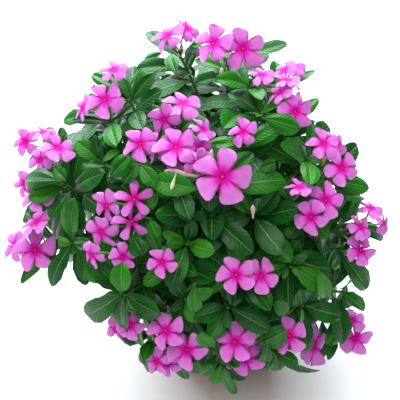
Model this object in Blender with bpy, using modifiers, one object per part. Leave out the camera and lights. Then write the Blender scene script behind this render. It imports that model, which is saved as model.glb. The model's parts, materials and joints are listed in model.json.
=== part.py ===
"""A Madagascar periwinkle in a plain clay pot: a round bush of forking leafy stems with
clusters of flat five-petalled blooms at the shoot tips.

Metres, +Z up. The origin is the middle of the pot's flat underside.
"""

import itertools
import math
import random
from collections import namedtuple

import bmesh
import bpy
from mathutils import Matrix, Vector
from mathutils.bvhtree import BVHTree

# Pot and soil
POT_HEIGHT = 0.130
POT_BASE_RADIUS = 0.060
POT_RIM_RADIUS = 0.090
POT_WALL = 0.005
POT_FLOOR = 0.006
RIM_BAND_HEIGHT = 0.028
RIM_BAND_STEP = 0.004
DRAIN_COUNT = 3
DRAIN_RADIUS = 0.006
DRAIN_RING = 0.030
POT_SIDES = 24
SOIL_TOP = 0.116
FIT_GAP = 0.0003

# Stems
STEM_COUNT = 12
STEM_RADIUS = 0.0026
SHOOT_RADIUS = 0.0020
TIP_RADIUS = 0.0015
STEM_DEPTH = 0.009
HOLE_SIDES = 6
HOLE_RADIUS = 0.0036
STEM_RING = (0.018, 0.046)
STEM_RISE = 0.075
STEM_TRIES = 80
LEADER_SHARES = (-0.1, 0.0, 0.35, 0.7, 0.88, 1.0)
SIDE_SHARES = (0.0, 0.5, 1.0)
BUSH_HEART = Vector((0.0, 0.0, 0.195))

# Leaves
RIB_HEIGHT = 0.0013
LEAF_LENGTHS = (0.022, 0.066)
LEAF_STATIONS = (0.38, 0.78)
LEAF_HALVES = (0.43, 0.46)
LEAF_BEND = 0.60
SEAT_HALF = 0.0009
SEATS = 4
SEAT_MISS = 38.0
SEAT_DEPTH = -0.055
LEAF_LIMIT = 326
FACE_VIEWER = 0.8
LEAST_FACING = 0.35
HIDDEN_TIERS = 1
NODE_STEPS = (0.003, 0.014, 0.027, 0.041)
TIER_LENGTHS = (0.042, 0.050, 0.054, 0.052)
TIER_ANGLES = (58.0, 72.0, 82.0, 88.0)
CLEARANCE = 0.0007
LOWEST_LEAF = 0.030
LEAFY_TIP_DEPTH = 0.022

# Blooms
PETALS = 5
EYE_DEPTH = 0.0015
BLOOM_RADII = (0.0135, 0.0255)
LOBE_TURNS = (-36.0, -22.0, 0.0, 22.0)
LOBE_SHARES = (0.28, 0.86, 1.03, 0.86)
NARROW_WIDTH = 0.60
BLOOM_SHIFTS = (0, 3, -3, 6, -6, 9, -9, 12, -12, 16, -16, 20, -20, 24, -24, 29, -29, 34, -34)
FOOT_TRIES = [(length, lean) for length in (0.027, 0.023, 0.031, 0.019, 0.035)
              for lean in (0.5, 0.0, 1.0, -0.5, 1.6, -1.2)]
THROAT_DEPTH = 0.0008
TUBE_RADIUS = 0.0011
TUBE_SIDES = 3
TUBE_LENGTH = 0.027
FOOT_RUN = 0.0025
STUB_RUN = 0.024
JOINT_RUN = 0.003
FOOT_SPREAD = 0.0005
FOOT_STEP = 0.0004
WELD_DISTANCE = 0.000002

# The photograph: 400 pixels square, seen from the front and above
PIXEL = 0.00105
IMAGE_MIDDLE = 200.0
VIEW_ELEVATION = math.radians(42.0)
VIEW_DISTANCE = 1.15
BUSH_CENTRE = Vector((-0.025, 0.0, 0.2175))
BUSH_HALF_WIDTH = 0.200
BUSH_HALF_HEIGHT = 0.190
BUSH_HALF_DEPTH = 0.150
RIGHT = Vector((1.0, 0.0, 0.0))
UP = Vector((0.0, math.sin(VIEW_ELEVATION), math.cos(VIEW_ELEVATION)))
TOWARD = Vector((0.0, -math.cos(VIEW_ELEVATION), math.sin(VIEW_ELEVATION)))

# Every bloom that shows, cluster by cluster, read by eye off the photograph: the pixel of its
# eye, its widest span in pixels, its lean to the right and upward, and one petal's angle.
CLUSTERS = [
    [(167, 36, 34, -0.45, 0.50, 90), (187, 28, 30, 0.45, 0.60, 60)],
    [(213, 43, 40, -0.30, 0.30, 75), (243, 48, 45, 0.05, 0.10, 95)],
    [(113, 70, 30, -0.20, 0.65, 90)],
    [(105, 100, 38, -0.10, 0.25, 45), (82, 108, 30, -0.75, 0.30, 120)],
    [(25, 142, 30, -0.40, 0.20, 100), (42, 132, 28, -0.10, 0.85, 90)],
    [(58, 148, 36, 0.40, 0.60, 20), (40, 160, 28, -0.50, 0.10, 200)],
    [(24, 184, 22, -0.50, 0.10, 100)],
    [(37, 196, 34, -0.20, 0.45, 200)],
    [(36, 222, 40, -0.45, 0.70, 30), (35, 250, 42, 0.00, 0.10, 90), (15, 246, 32, -0.60, 0.10, 120)],
    [(182, 103, 38, 0.10, 0.70, 95), (164, 120, 32, -0.40, -0.30, 220)],
    [(140, 144, 37, -0.20, 0.20, 125), (155, 147, 34, -0.60, 0.10, 180)],
    [(176, 147, 44, 0.00, 0.40, 105), (175, 160, 36, -0.35, -0.50, 230)],
    [(200, 148, 34, 0.45, 0.35, 30), (197, 163, 30, 0.30, -0.60, 290)],
    [(203, 129, 27, 0.60, 0.50, 40)],
    [(262, 75, 28, 0.00, 0.75, 90), (284, 70, 26, -0.50, 0.60, 120), (294, 66, 26, 0.20, 0.75, 80)],
    [(286, 81, 26, 0.10, 0.85, 90), (279, 93, 30, -0.50, 0.65, 130)],
    [(297, 101, 28, 0.45, 0.65, 60), (295, 112, 36, 0.10, 0.10, 165)],
    [(243, 132, 27, -0.20, 0.30, 90)],
    [(324, 144, 34, 0.10, 0.45, 100), (337, 143, 28, 0.60, 0.40, 40)],
    [(341, 168, 36, 0.20, 0.15, 45)],
    [(222, 177, 57, 0.00, 0.05, 75)],
    [(299, 187, 28, -0.10, 0.80, 90)],
    [(326, 200, 38, 0.20, 0.25, 70), (311, 217, 36, -0.20, -0.10, 125)],
    [(371, 208, 27, 0.30, 0.75, 60), (384, 223, 26, 0.80, 0.20, 20)],
    [(361, 227, 26, 0.50, 0.40, 40)],
    [(361, 250, 34, 0.30, 0.10, 125)],
    [(134, 199, 42, 0.00, 0.10, 95), (106, 206, 34, -0.60, -0.30, 200)],
    [(131, 222, 38, 0.10, -0.10, 100), (101, 232, 36, -0.40, -0.45, 150)],
    [(92, 255, 27, -0.60, -0.30, 200), (123, 257, 26, 0.00, -0.20, 90)],
    [(162, 262, 30, -0.10, 0.10, 115)],
    [(236, 275, 40, -0.10, 0.10, 105), (261, 276, 38, 0.25, 0.10, 125)],
    [(116, 330, 28, -0.60, -0.35, 200), (130, 325, 30, 0.20, 0.20, 60)],
    [(166, 331, 38, -0.10, 0.10, 100), (187, 350, 40, 0.05, -0.10, 125)],
    [(157, 361, 30, -0.40, -0.30, 150), (168, 365, 28, 0.10, -0.45, 250)],
    [(235, 342, 42, -0.10, 0.25, 85), (246, 359, 40, 0.15, -0.20, 40)],
    [(289, 336, 38, -0.10, 0.10, 95), (313, 345, 44, 0.70, 0.10, 85)],
    [(355, 338, 36, 0.20, 0.10, 75), (352, 320, 28, 0.00, 0.70, 90)],
]

# Blooms whose petals are slim, by the pixel of their eye
NARROW_PETALLED = {(134, 199), (131, 222), (155, 147)}

# Shoot tips that carry no bloom, in pixels
LEAFY_TIPS = [
    (122, 294), (187, 244), (253, 216), (291, 267), (62, 184), (70, 243), (303, 306), (186, 300),
    (129, 99), (262, 112), (152, 184), (98, 160), (345, 292), (228, 308), (308, 158), (212, 214),
    (208, 338), (272, 352), (222, 366), (150, 345),
]

# Large leaves that show clearly: the pixels of their foot and tip, and their width in pixels
CLEAR_LEAVES = [
    (211, 200, 209, 239, 24), (223, 214, 252, 254, 23), (240, 190, 285, 180, 24),
    (256, 224, 297, 210, 24), (254, 235, 288, 263, 23), (291, 268, 324, 287, 21),
    (237, 321, 201, 303, 24), (247, 327, 252, 302, 20), (256, 345, 287, 330, 22),
    (340, 252, 366, 290, 23), (345, 295, 353, 305, 20), (364, 328, 376, 315, 18),
    (366, 340, 384, 337, 18), (330, 340, 328, 374, 20), (300, 355, 319, 371, 18),
    (235, 355, 228, 382, 22), (262, 350, 280, 370, 20), (122, 294, 88, 318, 24),
    (122, 294, 122, 262, 20), (122, 294, 161, 314, 24), (124, 296, 122, 328, 19),
    (112, 285, 88, 258, 26), (188, 247, 171, 287, 20), (184, 245, 160, 243, 16),
    (190, 246, 214, 252, 18), (163, 297, 181, 327, 20), (205, 211, 156, 216, 23),
    (200, 190, 152, 180, 22), (133, 236, 143, 256, 19), (133, 322, 142, 347, 19),
    (165, 350, 146, 371, 18), (196, 352, 205, 368, 16), (70, 268, 20, 283, 19),
    (70, 256, 49, 284, 19), (60, 181, 25, 180, 22), (58, 186, 28, 197, 18),
    (75, 187, 105, 173, 22), (50, 237, 64, 212, 15), (72, 238, 75, 199, 22),
    (66, 246, 96, 240, 20), (165, 48, 146, 32, 18), (178, 72, 138, 70, 22),
    (180, 66, 198, 46, 22), (119, 120, 117, 146, 20), (110, 90, 92, 74, 16),
    (118, 90, 122, 70, 14), (98, 125, 72, 119, 14), (226, 86, 192, 82, 16),
    (231, 107, 223, 128, 24), (241, 125, 285, 115, 23), (262, 60, 287, 42, 20),
    (295, 80, 314, 69, 12), (300, 105, 319, 99, 16), (306, 126, 326, 116, 18),
    (337, 160, 358, 145, 20), (342, 184, 369, 189, 20), (335, 200, 362, 197, 20),
    (356, 240, 384, 236, 18), (318, 231, 321, 253, 22), (129, 98, 154, 74, 20),
    (134, 98, 163, 110, 20), (130, 110, 142, 130, 18), (262, 230, 256, 200, 16),
    (222, 145, 236, 134, 18), (305, 160, 281, 146, 20), (262, 118, 300, 130, 20),
    (195, 300, 198, 322, 16), (195, 298, 212, 290, 14), (310, 310, 300, 290, 20),
    (305, 312, 330, 318, 18), (98, 160, 78, 140, 18), (152, 184, 128, 160, 20),
]

# The side of the bush that the photograph doesn't show: shoot tips evenly spread over it
SPREAD_POINTS = 70
BACK_EDGE = -0.06
BACK_LOWEST = -0.42
BACK_RADIUS = 0.148
BACK_CLUSTERS = 8
BACK_BLOOM_EDGE = -0.30
BACK_BLOOM_RADIUS = 0.0195
SEED = 7

Bloom = namedtuple("Bloom", "centre normal petal radius petals foot heading")
Shoot = namedtuple("Shoot", "points heading stem turn stout hidden")
Leaf = namedtuple("Leaf", "foot along face length width stem shoot tier seat")
Item = namedtuple("Item", "node kind tree middle reach")


def spot(across, down, depth):
    """The place that shows at a pixel, this far from the bush's centre towards the viewer."""
    shrink = 1.0 - depth / VIEW_DISTANCE
    flat = (across - IMAGE_MIDDLE) * RIGHT + (IMAGE_MIDDLE - down) * UP
    return BUSH_CENTRE + depth * TOWARD + shrink * PIXEL * flat


def pixel_of(place):
    """The pixel at which a place shows, as a flat vector, with its depth towards the viewer."""
    offset = place - BUSH_CENTRE
    depth = offset.dot(TOWARD)
    scale = PIXEL * (1.0 - depth / VIEW_DISTANCE)
    return Vector((IMAGE_MIDDLE + offset.dot(RIGHT) / scale, IMAGE_MIDDLE - offset.dot(UP) / scale)), depth


def mound_depth(across, down):
    """How far the bush's rounded front stands towards the viewer at a pixel."""
    right = (across - IMAGE_MIDDLE) * PIXEL / BUSH_HALF_WIDTH
    up = (IMAGE_MIDDLE - down) * PIXEL / BUSH_HALF_HEIGHT
    return BUSH_HALF_DEPTH * math.sqrt(max(0.0, 1.0 - right * right - up * up))


def facing(right, up):
    """The direction that leans this far to the right and upward from the viewer's."""
    return right * RIGHT + up * UP + math.sqrt(1.0 - right * right - up * up) * TOWARD


def squared(direction, axis):
    """The part of a direction that lies square to an axis, as a unit vector."""
    return (direction - direction.dot(axis) * axis).normalized()


def turned(direction, axis, degrees):
    return Matrix.Rotation(math.radians(degrees), 3, axis) @ direction


def bezier(ends, share):
    start, first, second, end = ends
    rest = 1.0 - share
    return (rest ** 3 * start + 3 * rest ** 2 * share * first
            + 3 * rest * share ** 2 * second + share ** 3 * end)


def on_run(points, shares, share):
    """The place on a run of points that were taken at these shares of a curve."""
    for index in range(len(points) - 1):
        if share <= shares[index + 1]:
            part = (share - shares[index]) / (shares[index + 1] - shares[index])
            return points[index].lerp(points[index + 1], part)
    return points[-1].copy()


def back_along(points, distance):
    """The place and heading on a run of points, this far back from its last one."""
    for end, start in zip(points[::-1], points[-2::-1]):
        length = (end - start).length
        if distance <= length:
            return end.lerp(start, distance / length), (end - start).normalized()
        distance -= length
    return points[0].copy(), (points[1] - points[0]).normalized()


def seat_frame(shoot, distance):
    """The place, heading and side of a shoot's square section, this far back from its tip."""
    place, heading = back_along(shoot.points, distance)
    side = turned(squared(Vector((0.2, -0.3, 1.0)), shoot.heading), shoot.heading, shoot.turn)
    if distance == 0.0:
        return place, shoot.heading, side
    for end, start in zip(shoot.points[::-1], shoot.points[-2::-1]):
        ahead = (end - start).normalized()
        side = squared(side, ahead)
        if (ahead - heading).length < 1e-6:
            break
    return place, heading, side


def shoot_radius(shoot, distance):
    """Stems taper evenly from their foot to a slim tip."""
    whole = sum((end - start).length for start, end in zip(shoot.points, shoot.points[1:]))
    return TIP_RADIUS + (shoot.stout - TIP_RADIUS) * min(1.0, distance / whole)


def make_item(node, kind, corners, faces):
    middle = sum(corners, Vector()) / len(corners)
    reach = max((corner - middle).length for corner in corners)
    return Item(node, kind, BVHTree.FromPolygons(corners, faces), middle, reach)


def is_clear(item, items, ignored=()):
    """Whether an item crosses none of the others, apart from those of the ignored nodes and kinds."""
    for other in items:
        if (other.node, other.kind) in ignored:
            continue
        near = (other.middle - item.middle).length <= other.reach + item.reach
        if near and item.tree.overlap(other.tree):
            return False
    return True


def tube_item(node, points, radius):
    """A square tube round a run of points, to test for crossings."""
    corners = []
    for index, point in enumerate(points):
        ahead = (points[min(index + 1, len(points) - 1)] - points[max(index - 1, 0)]).normalized()
        side = squared(Vector((0.31, 0.52, 0.80)), ahead)
        other = ahead.cross(side)
        corners += [point + (radius + CLEARANCE) * way for way in (side, other, -side, -other)]
    faces = [(0, 1, 2, 3), tuple(len(corners) - 4 + turn for turn in range(4))]
    for ring in range(0, len(corners) - 4, 4):
        for turn in range(4):
            after = (turn + 1) % 4
            faces.append((ring + turn, ring + after, ring + 4 + after, ring + 4 + turn))
    return make_item(node, "tube", corners, faces)


def drum_item(node, radius, low, high):
    """An upright drum, which keeps stems and leaves out of the pot and the soil."""
    turns = [index * math.tau / 16 for index in range(16)]
    corners = [Vector((radius * math.cos(turn), radius * math.sin(turn), height))
               for height in (low, high) for turn in turns]
    faces = [(index, (index + 1) % 16, 16 + (index + 1) % 16, 16 + index) for index in range(16)]
    faces += [tuple(range(16)), tuple(range(16, 32))]
    return make_item(node, "drum", corners, faces)


def leaf_point(leaf, share, across):
    """A place on a leaf: share runs from its foot to its tip, across is metres off the midrib."""
    start = -0.35 * LEAF_BEND
    angle = start + share * LEAF_BEND
    ahead = leaf.length / LEAF_BEND * (math.sin(angle) - math.sin(start))
    lift = leaf.length / LEAF_BEND * (math.cos(angle) - math.cos(start))
    side = leaf.along.cross(leaf.face)
    return leaf.foot + ahead * leaf.along + lift * leaf.face + across * side


def leaf_item(leaf, from_share=0.0):
    """A slightly swollen blade, or only its outer part, to test for crossings."""
    places = []
    for share, half in zip((from_share, *LEAF_STATIONS, 1.0), (0.10, *LEAF_HALVES, 0.10)):
        reach = half * leaf.width + CLEARANCE
        places += [leaf_point(leaf, share, across) for across in (-reach, 0.0, reach)]
    count = len(places)
    corners = [place + (CLEARANCE + RIB_HEIGHT) * leaf.face for place in places]
    corners += [place - CLEARANCE * leaf.face for place in places]
    faces = [(0, 1, count + 1, count), (1, 2, count + 2, count + 1),
             (count - 3, count - 2, 2 * count - 2, 2 * count - 3),
             (count - 2, count - 1, 2 * count - 1, 2 * count - 2)]
    for row in range(0, count - 3, 3):
        for corner in (row, row + 1):
            quad = (corner, corner + 1, corner + 4, corner + 3)
            faces += [quad, tuple(count + index for index in quad)]
        for edge in (row, row + 2):
            faces.append((edge, edge + 3, edge + 3 + count, edge + count))
    return make_item(leaf.stem, "leaf", corners, faces)


def limb_point(bloom, petal, turn, share):
    """A place on a bloom's flat limb: share of a petal's length, turned off its middle line."""
    angle, length, _, curl = bloom.petals[petal]
    side = bloom.normal.cross(bloom.petal)
    way = math.cos(angle + turn) * bloom.petal + math.sin(angle + turn) * side
    lift = curl * share * share - THROAT_DEPTH * (1.0 - share)
    return bloom.centre + bloom.radius * length * share * way + lift * bloom.normal


def limb_rim(bloom):
    """The corners of a bloom's outline: for each petal a notch, a shoulder, its tip, a shoulder."""
    rim = []
    for petal, (_, _, width, _) in enumerate(bloom.petals):
        for index, (turn, share) in enumerate(zip(LOBE_TURNS, LOBE_SHARES)):
            rim.append(limb_point(bloom, petal, math.radians(turn) * (width if index else 1.0), share))
    return rim


def limb_item(node, bloom):
    """A bloom's limb, slightly swollen, to test for crossings."""
    eye = bloom.centre - THROAT_DEPTH * bloom.normal
    places = [eye] + [corner + CLEARANCE * (corner - eye).normalized() for corner in limb_rim(bloom)]
    count = len(places)
    corners = [place + CLEARANCE * bloom.normal for place in places]
    corners += [place - (CLEARANCE + EYE_DEPTH / 2) * bloom.normal for place in places]
    faces = []
    for index in range(1, count):
        after = index % (count - 1) + 1
        faces += [(0, index, after), (count, count + index, count + after)]
        faces.append((index, after, count + after, count + index))
    return make_item(node, "limb", corners, faces)


def tube_ends(bloom):
    """The Bezier points of a flower tube, from the end of its straight foot to the bloom's eye."""
    start = bloom.foot + FOOT_RUN * bloom.heading
    eye = bloom.centre - (THROAT_DEPTH + EYE_DEPTH) * bloom.normal
    span = (eye - start).length
    return start, start + 0.3 * span * bloom.heading, eye - 0.45 * span * bloom.normal, eye


def tube_points(bloom):
    ends = tube_ends(bloom)
    return [bloom.foot] + [bezier(ends, share) for share in (0.0, 1.0)]


def petal_shapes(draw, width):
    """Each petal's angle, length, width and curl, a little different from its neighbours'."""
    return [
        (index * math.tau / PETALS + math.radians(draw.uniform(-5.0, 5.0)), draw.uniform(0.94, 1.04),
         width * draw.uniform(0.92, 1.06), draw.uniform(-0.0020, 0.0008))
        for index in range(PETALS)
    ]


def read_bloom(reading, draw):
    across, down, span, right, up, petal_angle = reading
    depth = mound_depth(across, down)
    normal = facing(right, up)
    angle = math.radians(petal_angle)
    flat = math.cos(angle) * RIGHT + math.sin(angle) * UP
    petal = (flat - flat.dot(normal) / TOWARD.dot(normal) * TOWARD).normalized()
    radius = span * PIXEL * (1.0 - depth / VIEW_DISTANCE) / 2
    width = NARROW_WIDTH if (across, down) in NARROW_PETALLED else 1.0
    return Bloom(spot(across, down, depth), normal, petal, min(max(radius, BLOOM_RADII[0]), BLOOM_RADII[1]),
                 petal_shapes(draw, width), None, None)


def shoot_heading(tip):
    """Shoots grow outward from the bush's heart, and turn up where they reach its top."""
    rise = max(0.0, tip.z - 0.24) * 6.0
    return ((tip - BUSH_HEART).normalized() + rise * Vector((0.0, 0.0, 1.0))).normalized()


def join_cluster(blooms, length, lean):
    """Gives the blooms of one cluster their feet, side by side, a tube's length behind them."""
    middle = sum((bloom.centre for bloom in blooms), Vector()) / len(blooms)
    normal = sum((bloom.normal for bloom in blooms), Vector()).normalized()
    outward = (middle - BUSH_HEART).normalized()
    foot = middle - length * (outward + lean * normal + Vector((0.0, 0.0, 0.3))).normalized()
    heading = shoot_heading(foot)
    joined = []
    for index, bloom in enumerate(blooms):
        side = squared(bloom.centre - foot, heading)
        spread = FOOT_SPREAD * side if len(blooms) > 1 else Vector()
        joined.append(bloom._replace(foot=foot + spread + index * FOOT_STEP * heading, heading=heading))
    return foot, heading, joined


def place_cluster(node, blooms, items):
    """Slides blooms a little along their lines of sight, then moves their feet, until none cross."""
    choices = []
    for bloom in blooms:
        moves = [bloom._replace(centre=bloom.centre + 0.001 * shift * TOWARD) for shift in BLOOM_SHIFTS]
        limbs = [limb_item(node, move) for move in moves]
        choices.append([(abs(shift), move, limb) for shift, move, limb in zip(BLOOM_SHIFTS, moves, limbs)
                        if is_clear(limb, items)])
    groups = sorted(itertools.product(*choices), key=lambda group: sum(shift ** 2 for shift, _, _ in group))
    for choice in groups:
        limbs = [limb for _, _, limb in choice]
        if all(is_clear(limb, limbs[:own]) for own, limb in enumerate(limbs)):
            break
    placed = [move for _, move, _ in choice]
    best = None
    for length, lean in FOOT_TRIES:
        foot, heading, joined = join_cluster(placed, length, lean)
        tubes = [tube_item(node, tube_points(bloom), TUBE_RADIUS) for bloom in joined]
        stub = tube_item(node, [foot - STUB_RUN * heading, foot - FIT_GAP * heading], SHOOT_RADIUS)
        crossing = sum(not is_clear(tube, items + limbs[:own] + limbs[own + 1:])
                       for own, tube in enumerate(tubes))
        crossing += 2 * (not is_clear(stub, items + limbs))
        if best is None or crossing < best[0]:
            best = (crossing, foot, heading, joined, tubes, stub)
        if not crossing:
            break
    _, foot, heading, joined, tubes, stub = best
    items += limbs + tubes + [stub._replace(kind="stub")]
    return foot, heading, joined


def back_directions():
    """Even directions over the side of the bush that the photograph doesn't show."""
    found = []
    for index in range(SPREAD_POINTS):
        height = 1.0 - (2 * index + 1) / SPREAD_POINTS
        turn = index * math.pi * (3.0 - math.sqrt(5.0))
        flat = math.sqrt(1.0 - height * height)
        way = Vector((flat * math.cos(turn), flat * math.sin(turn), height))
        if way.dot(TOWARD) < BACK_EDGE and way.z > BACK_LOWEST:
            found.append(way)
    return found


def back_cluster(tip, draw):
    """Two blooms side by side at a shoot tip on the side that the photograph doesn't show."""
    heading = (tip - BUSH_HEART).normalized()
    side = turned(squared(Vector((0.0, 0.0, 1.0)), heading), heading, draw.uniform(50.0, 130.0))
    blooms = []
    for lean in (-1.0, 1.0):
        normal = (heading + lean * draw.uniform(0.25, 0.5) * side + Vector((0.0, 0.0, 0.25))).normalized()
        centre = tip + (TUBE_LENGTH + draw.uniform(-0.002, 0.003)) * heading + lean * 0.019 * side
        petal = turned(squared(side, normal), normal, draw.uniform(0.0, 72.0))
        radius = BACK_BLOOM_RADIUS * draw.uniform(0.9, 1.12)
        blooms.append(Bloom(centre, normal, petal, radius, petal_shapes(draw, 1.0), None, None))
    return blooms


def stem_groups(ways):
    """Sorts shoot directions into one group a stem, each round a common direction."""
    middles = [ways[0]]
    while len(middles) < STEM_COUNT:
        middles.append(max(ways, key=lambda way: min((way - middle).length for middle in middles)))
    for _ in range(10):
        nearest = [min(range(STEM_COUNT), key=lambda stem: (way - middles[stem]).length) for way in ways]
        middles = [
            sum((way for way, stem in zip(ways, nearest) if stem == own), Vector()).normalized()
            for own in range(STEM_COUNT)
        ]
    return nearest, middles


def stem_foot(place, middle):
    """Where a stem enters the soil: evenly round the pot, upright stems nearer to its middle."""
    turn = math.tau * place / STEM_COUNT - math.pi
    inner, outer = STEM_RING
    radius = outer - (outer - inner) * min(1.0, max(0.0, middle.z))
    return Vector((radius * math.cos(turn), radius * math.sin(turn), SOIL_TOP - STEM_DEPTH))


def shoot_route(foot, leader, rank, count, tip, heading, draw, loose):
    """The points of one shoot: the leader from its hole in the soil, or a side shoot off the leader."""
    end = tip - FIT_GAP * heading
    sway = Vector([draw.uniform(-0.025, 0.025) * loose for _ in range(3)])
    if leader is None:
        start = foot + Vector((0.0, 0.0, STEM_DEPTH + FIT_GAP))
        ends = (start, start + Vector((0.0, 0.0, STEM_RISE)) + sway,
                end - 0.3 * (end - foot).length * heading, end)
        return [foot] + [bezier(ends, share) for share in LEADER_SHARES[1:]]
    fork = 0.62 - 0.30 * rank / count + loose * draw.uniform(-0.20, 0.20)
    start = on_run(leader, LEADER_SHARES, fork)
    ahead = (on_run(leader, LEADER_SHARES, fork + 0.05) - start).normalized()
    span = (end - start).length
    rise = (ahead + 0.7 * (end - start).normalized()).normalized()
    ends = (start, start + 0.35 * span * rise + sway, end - 0.3 * span * heading, end)
    return [bezier(ends, share) for share in SIDE_SHARES]


def route_stem(node, foot, tips, draw, items):
    """One stem's main shoot from the soil to a tip, and its side shoots, clear of all else."""
    middle = sum(((tip - BUSH_HEART).normalized() for tip, _, _ in tips), Vector()).normalized()
    order = sorted(tips, key=lambda entry: -(entry[0] - BUSH_HEART).normalized().dot(middle))
    routes = []
    for rank, (tip, heading, truss) in enumerate(order):
        leader = routes[0] if routes else None
        others = [item for item in items if item.node not in (truss, "soil", node)]
        own = [item for item in items if item.node == truss]
        for attempt in range(STEM_TRIES):
            route = shoot_route(foot, leader, rank, len(order), tip, heading, draw, min(1.0, attempt / 20))
            tube = tube_item(node, route, SHOOT_RADIUS)
            short = route[:-1] + [back_along(route, JOINT_RUN)[0]]
            if is_clear(tube, others) and is_clear(tube_item(node, short, SHOOT_RADIUS - CLEARANCE), own):
                break
        routes.append(route)
        items.append(tube)
    return [Shoot(route, heading, node, draw.uniform(0.0, 90.0), STEM_RADIUS if rank == 0 else SHOOT_RADIUS,
                  (route[-1] - BUSH_CENTRE).dot(TOWARD) < BACK_EDGE * BACK_RADIUS)
            for rank, (route, (_, heading, _)) in enumerate(zip(routes, order))]


def ring_item(node, inner, outer, low, high):
    """The upper part of the pot's wall, which stems and leaves pass over."""
    turns = [index * math.tau / 24 for index in range(24)]
    profile = ((outer, 0.0), (outer, high), (inner, high), (inner, low))
    corners = [Vector((radius * math.cos(turn), radius * math.sin(turn), height))
               for radius, height in profile for turn in turns]
    faces = [(24 * level + index, 24 * level + (index + 1) % 24,
              24 * level + 24 + (index + 1) % 24, 24 * level + 24 + index)
             for level in range(3) for index in range(24)]
    return make_item(node, "ring", corners, faces)


def add_leaf(tries, items, leaves):
    """Keeps the first of several ways to set a leaf that crosses nothing and clears the floor."""
    for leaf in tries:
        if leaf_point(leaf, 1.0, 0.0).z < LOWEST_LEAF:
            continue
        whole = leaf_item(leaf)
        if not is_clear(whole, [item for item in items if item.node != leaf.stem]):
            continue
        if is_clear(leaf_item(leaf, 0.25), [item for item in items if item.node == leaf.stem]):
            items.append(whole)
            leaves.append(leaf)
            return


def is_front(place):
    """Whether leaves that grow from a place show in the photograph, where they face the light."""
    return (place - BUSH_CENTRE).dot(TOWARD) > SEAT_DEPTH


def seated(shoots, index, tier, seat, way, face, length, width):
    """A leaf on one of the four flats of a shoot's section, or None where it points too far off."""
    shoot = shoots[index]
    place, heading, side = seat_frame(shoot, NODE_STEPS[tier])
    flat = turned(side, heading, 90.0 * seat)
    if flat.dot(way) < 0.35 or (is_front(place) and face.dot(TOWARD) < LEAST_FACING):
        return None
    foot = place + shoot_radius(shoot, NODE_STEPS[tier]) * 0.7 * flat
    return Leaf(foot, way, squared(face, way), length, width, shoot.stem, index, tier, seat)


def clear_leaf_tries(reading, shoots, used):
    """Ways to set a leaf that the photograph shows, with its tip at the pixel where it shows."""
    _, _, across, down, width = reading
    for index, tier in near_seats(shoots, reading):
        shoot = shoots[index]
        place, heading, side = seat_frame(shoot, NODE_STEPS[tier])
        outward = (place - BUSH_HEART).normalized()
        for shift in (0, 7, -7, 14, -14, 22, -22, 32, -32, 44, -44):
            reach = spot(across, down, mound_depth(across, down) + 0.001 * shift) - place
            chord = reach.normalized()
            seat = max(range(SEATS), key=lambda turn: turned(side, heading, 90.0 * turn).dot(chord))
            if not LEAF_LENGTHS[0] < reach.length < LEAF_LENGTHS[1] or (index, tier, seat) in used:
                continue
            for roll in (0, 18, -18, 36, -36):
                for scale in (1.0, 0.86, 0.74):
                    face = turned(squared(shoot.heading + 0.4 * outward + 1.6 * TOWARD, chord), chord, roll)
                    leaf = seated(shoots, index, tier, seat, (chord + 0.09 * face).normalized(), face,
                                  reach.length * scale, width * PIXEL * 0.95 * scale)
                    if leaf:
                        yield leaf


def rule_leaf_tries(shoots, index, tier, seat, draw):
    """Ways to set one leaf of an opposite pair: each pair stands square to the one above it."""
    place, heading, side = seat_frame(shoots[index], NODE_STEPS[tier])
    flat = turned(side, heading, 90.0 * seat)
    front = FACE_VIEWER if is_front(place) else 0.0
    for attempt in range(26):
        loose = min(1.0, attempt / 14)
        way = turned(flat, heading, draw.uniform(-40.0, 40.0) * loose)
        angle = math.radians(TIER_ANGLES[tier] + draw.uniform(-25.0, 20.0) * loose)
        side_way = math.cos(angle) * heading + math.sin(angle) * way
        way = (side_way + Vector((0.0, 0.0, -0.12))).normalized()
        face = squared(heading + 0.3 * Vector((0.0, 0.0, 1.0)) - 0.2 * flat + front * TOWARD, way)
        face = turned(face, way, draw.uniform(-25.0, 25.0) * (0.3 + 0.7 * loose))
        length = TIER_LENGTHS[tier] * draw.uniform(0.9, 1.15) * (1.0 - 0.30 * loose)
        leaf = seated(shoots, index, tier, seat, way, face, length, length * draw.uniform(0.44, 0.52))
        if leaf:
            yield leaf


def near_seats(shoots, reading):
    """The leaf nodes that show nearest to where the photograph shows a leaf's foot, nearest first."""
    found = []
    for index, shoot in enumerate(shoots):
        for tier in range(len(NODE_STEPS)):
            place, _ = back_along(shoot.points, NODE_STEPS[tier])
            miss = (pixel_of(place)[0] - Vector(reading[:2])).length
            if is_front(place) and miss < SEAT_MISS:
                found.append((miss, index, tier))
    return [entry[1:] for entry in sorted(found)]


def grow_leaves(shoots, draw, items):
    """Large leaves where the photograph shows them, then opposite pairs down every shoot."""
    leaves = []
    for reading in CLEAR_LEAVES:
        used = {(leaf.shoot, leaf.tier, leaf.seat) for leaf in leaves}
        add_leaf(clear_leaf_tries(reading, shoots, used), items, leaves)
    order = [(tier, index, crossed) for crossed in (0, 1) for tier in range(len(NODE_STEPS))
             for index in range(len(shoots))]
    order.sort(key=lambda entry: entry[0] + 3 * entry[2] - (HIDDEN_TIERS if shoots[entry[1]].hidden else 0))
    used = {(leaf.shoot, leaf.tier, leaf.seat) for leaf in leaves}
    for tier, index, crossed in order:
        for seat in ((tier + crossed) % 2, (tier + crossed) % 2 + 2):
            if len(leaves) < LEAF_LIMIT and (index, tier, seat) not in used:
                add_leaf(rule_leaf_tries(shoots, index, tier, seat, draw), items, leaves)
    return leaves


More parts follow.
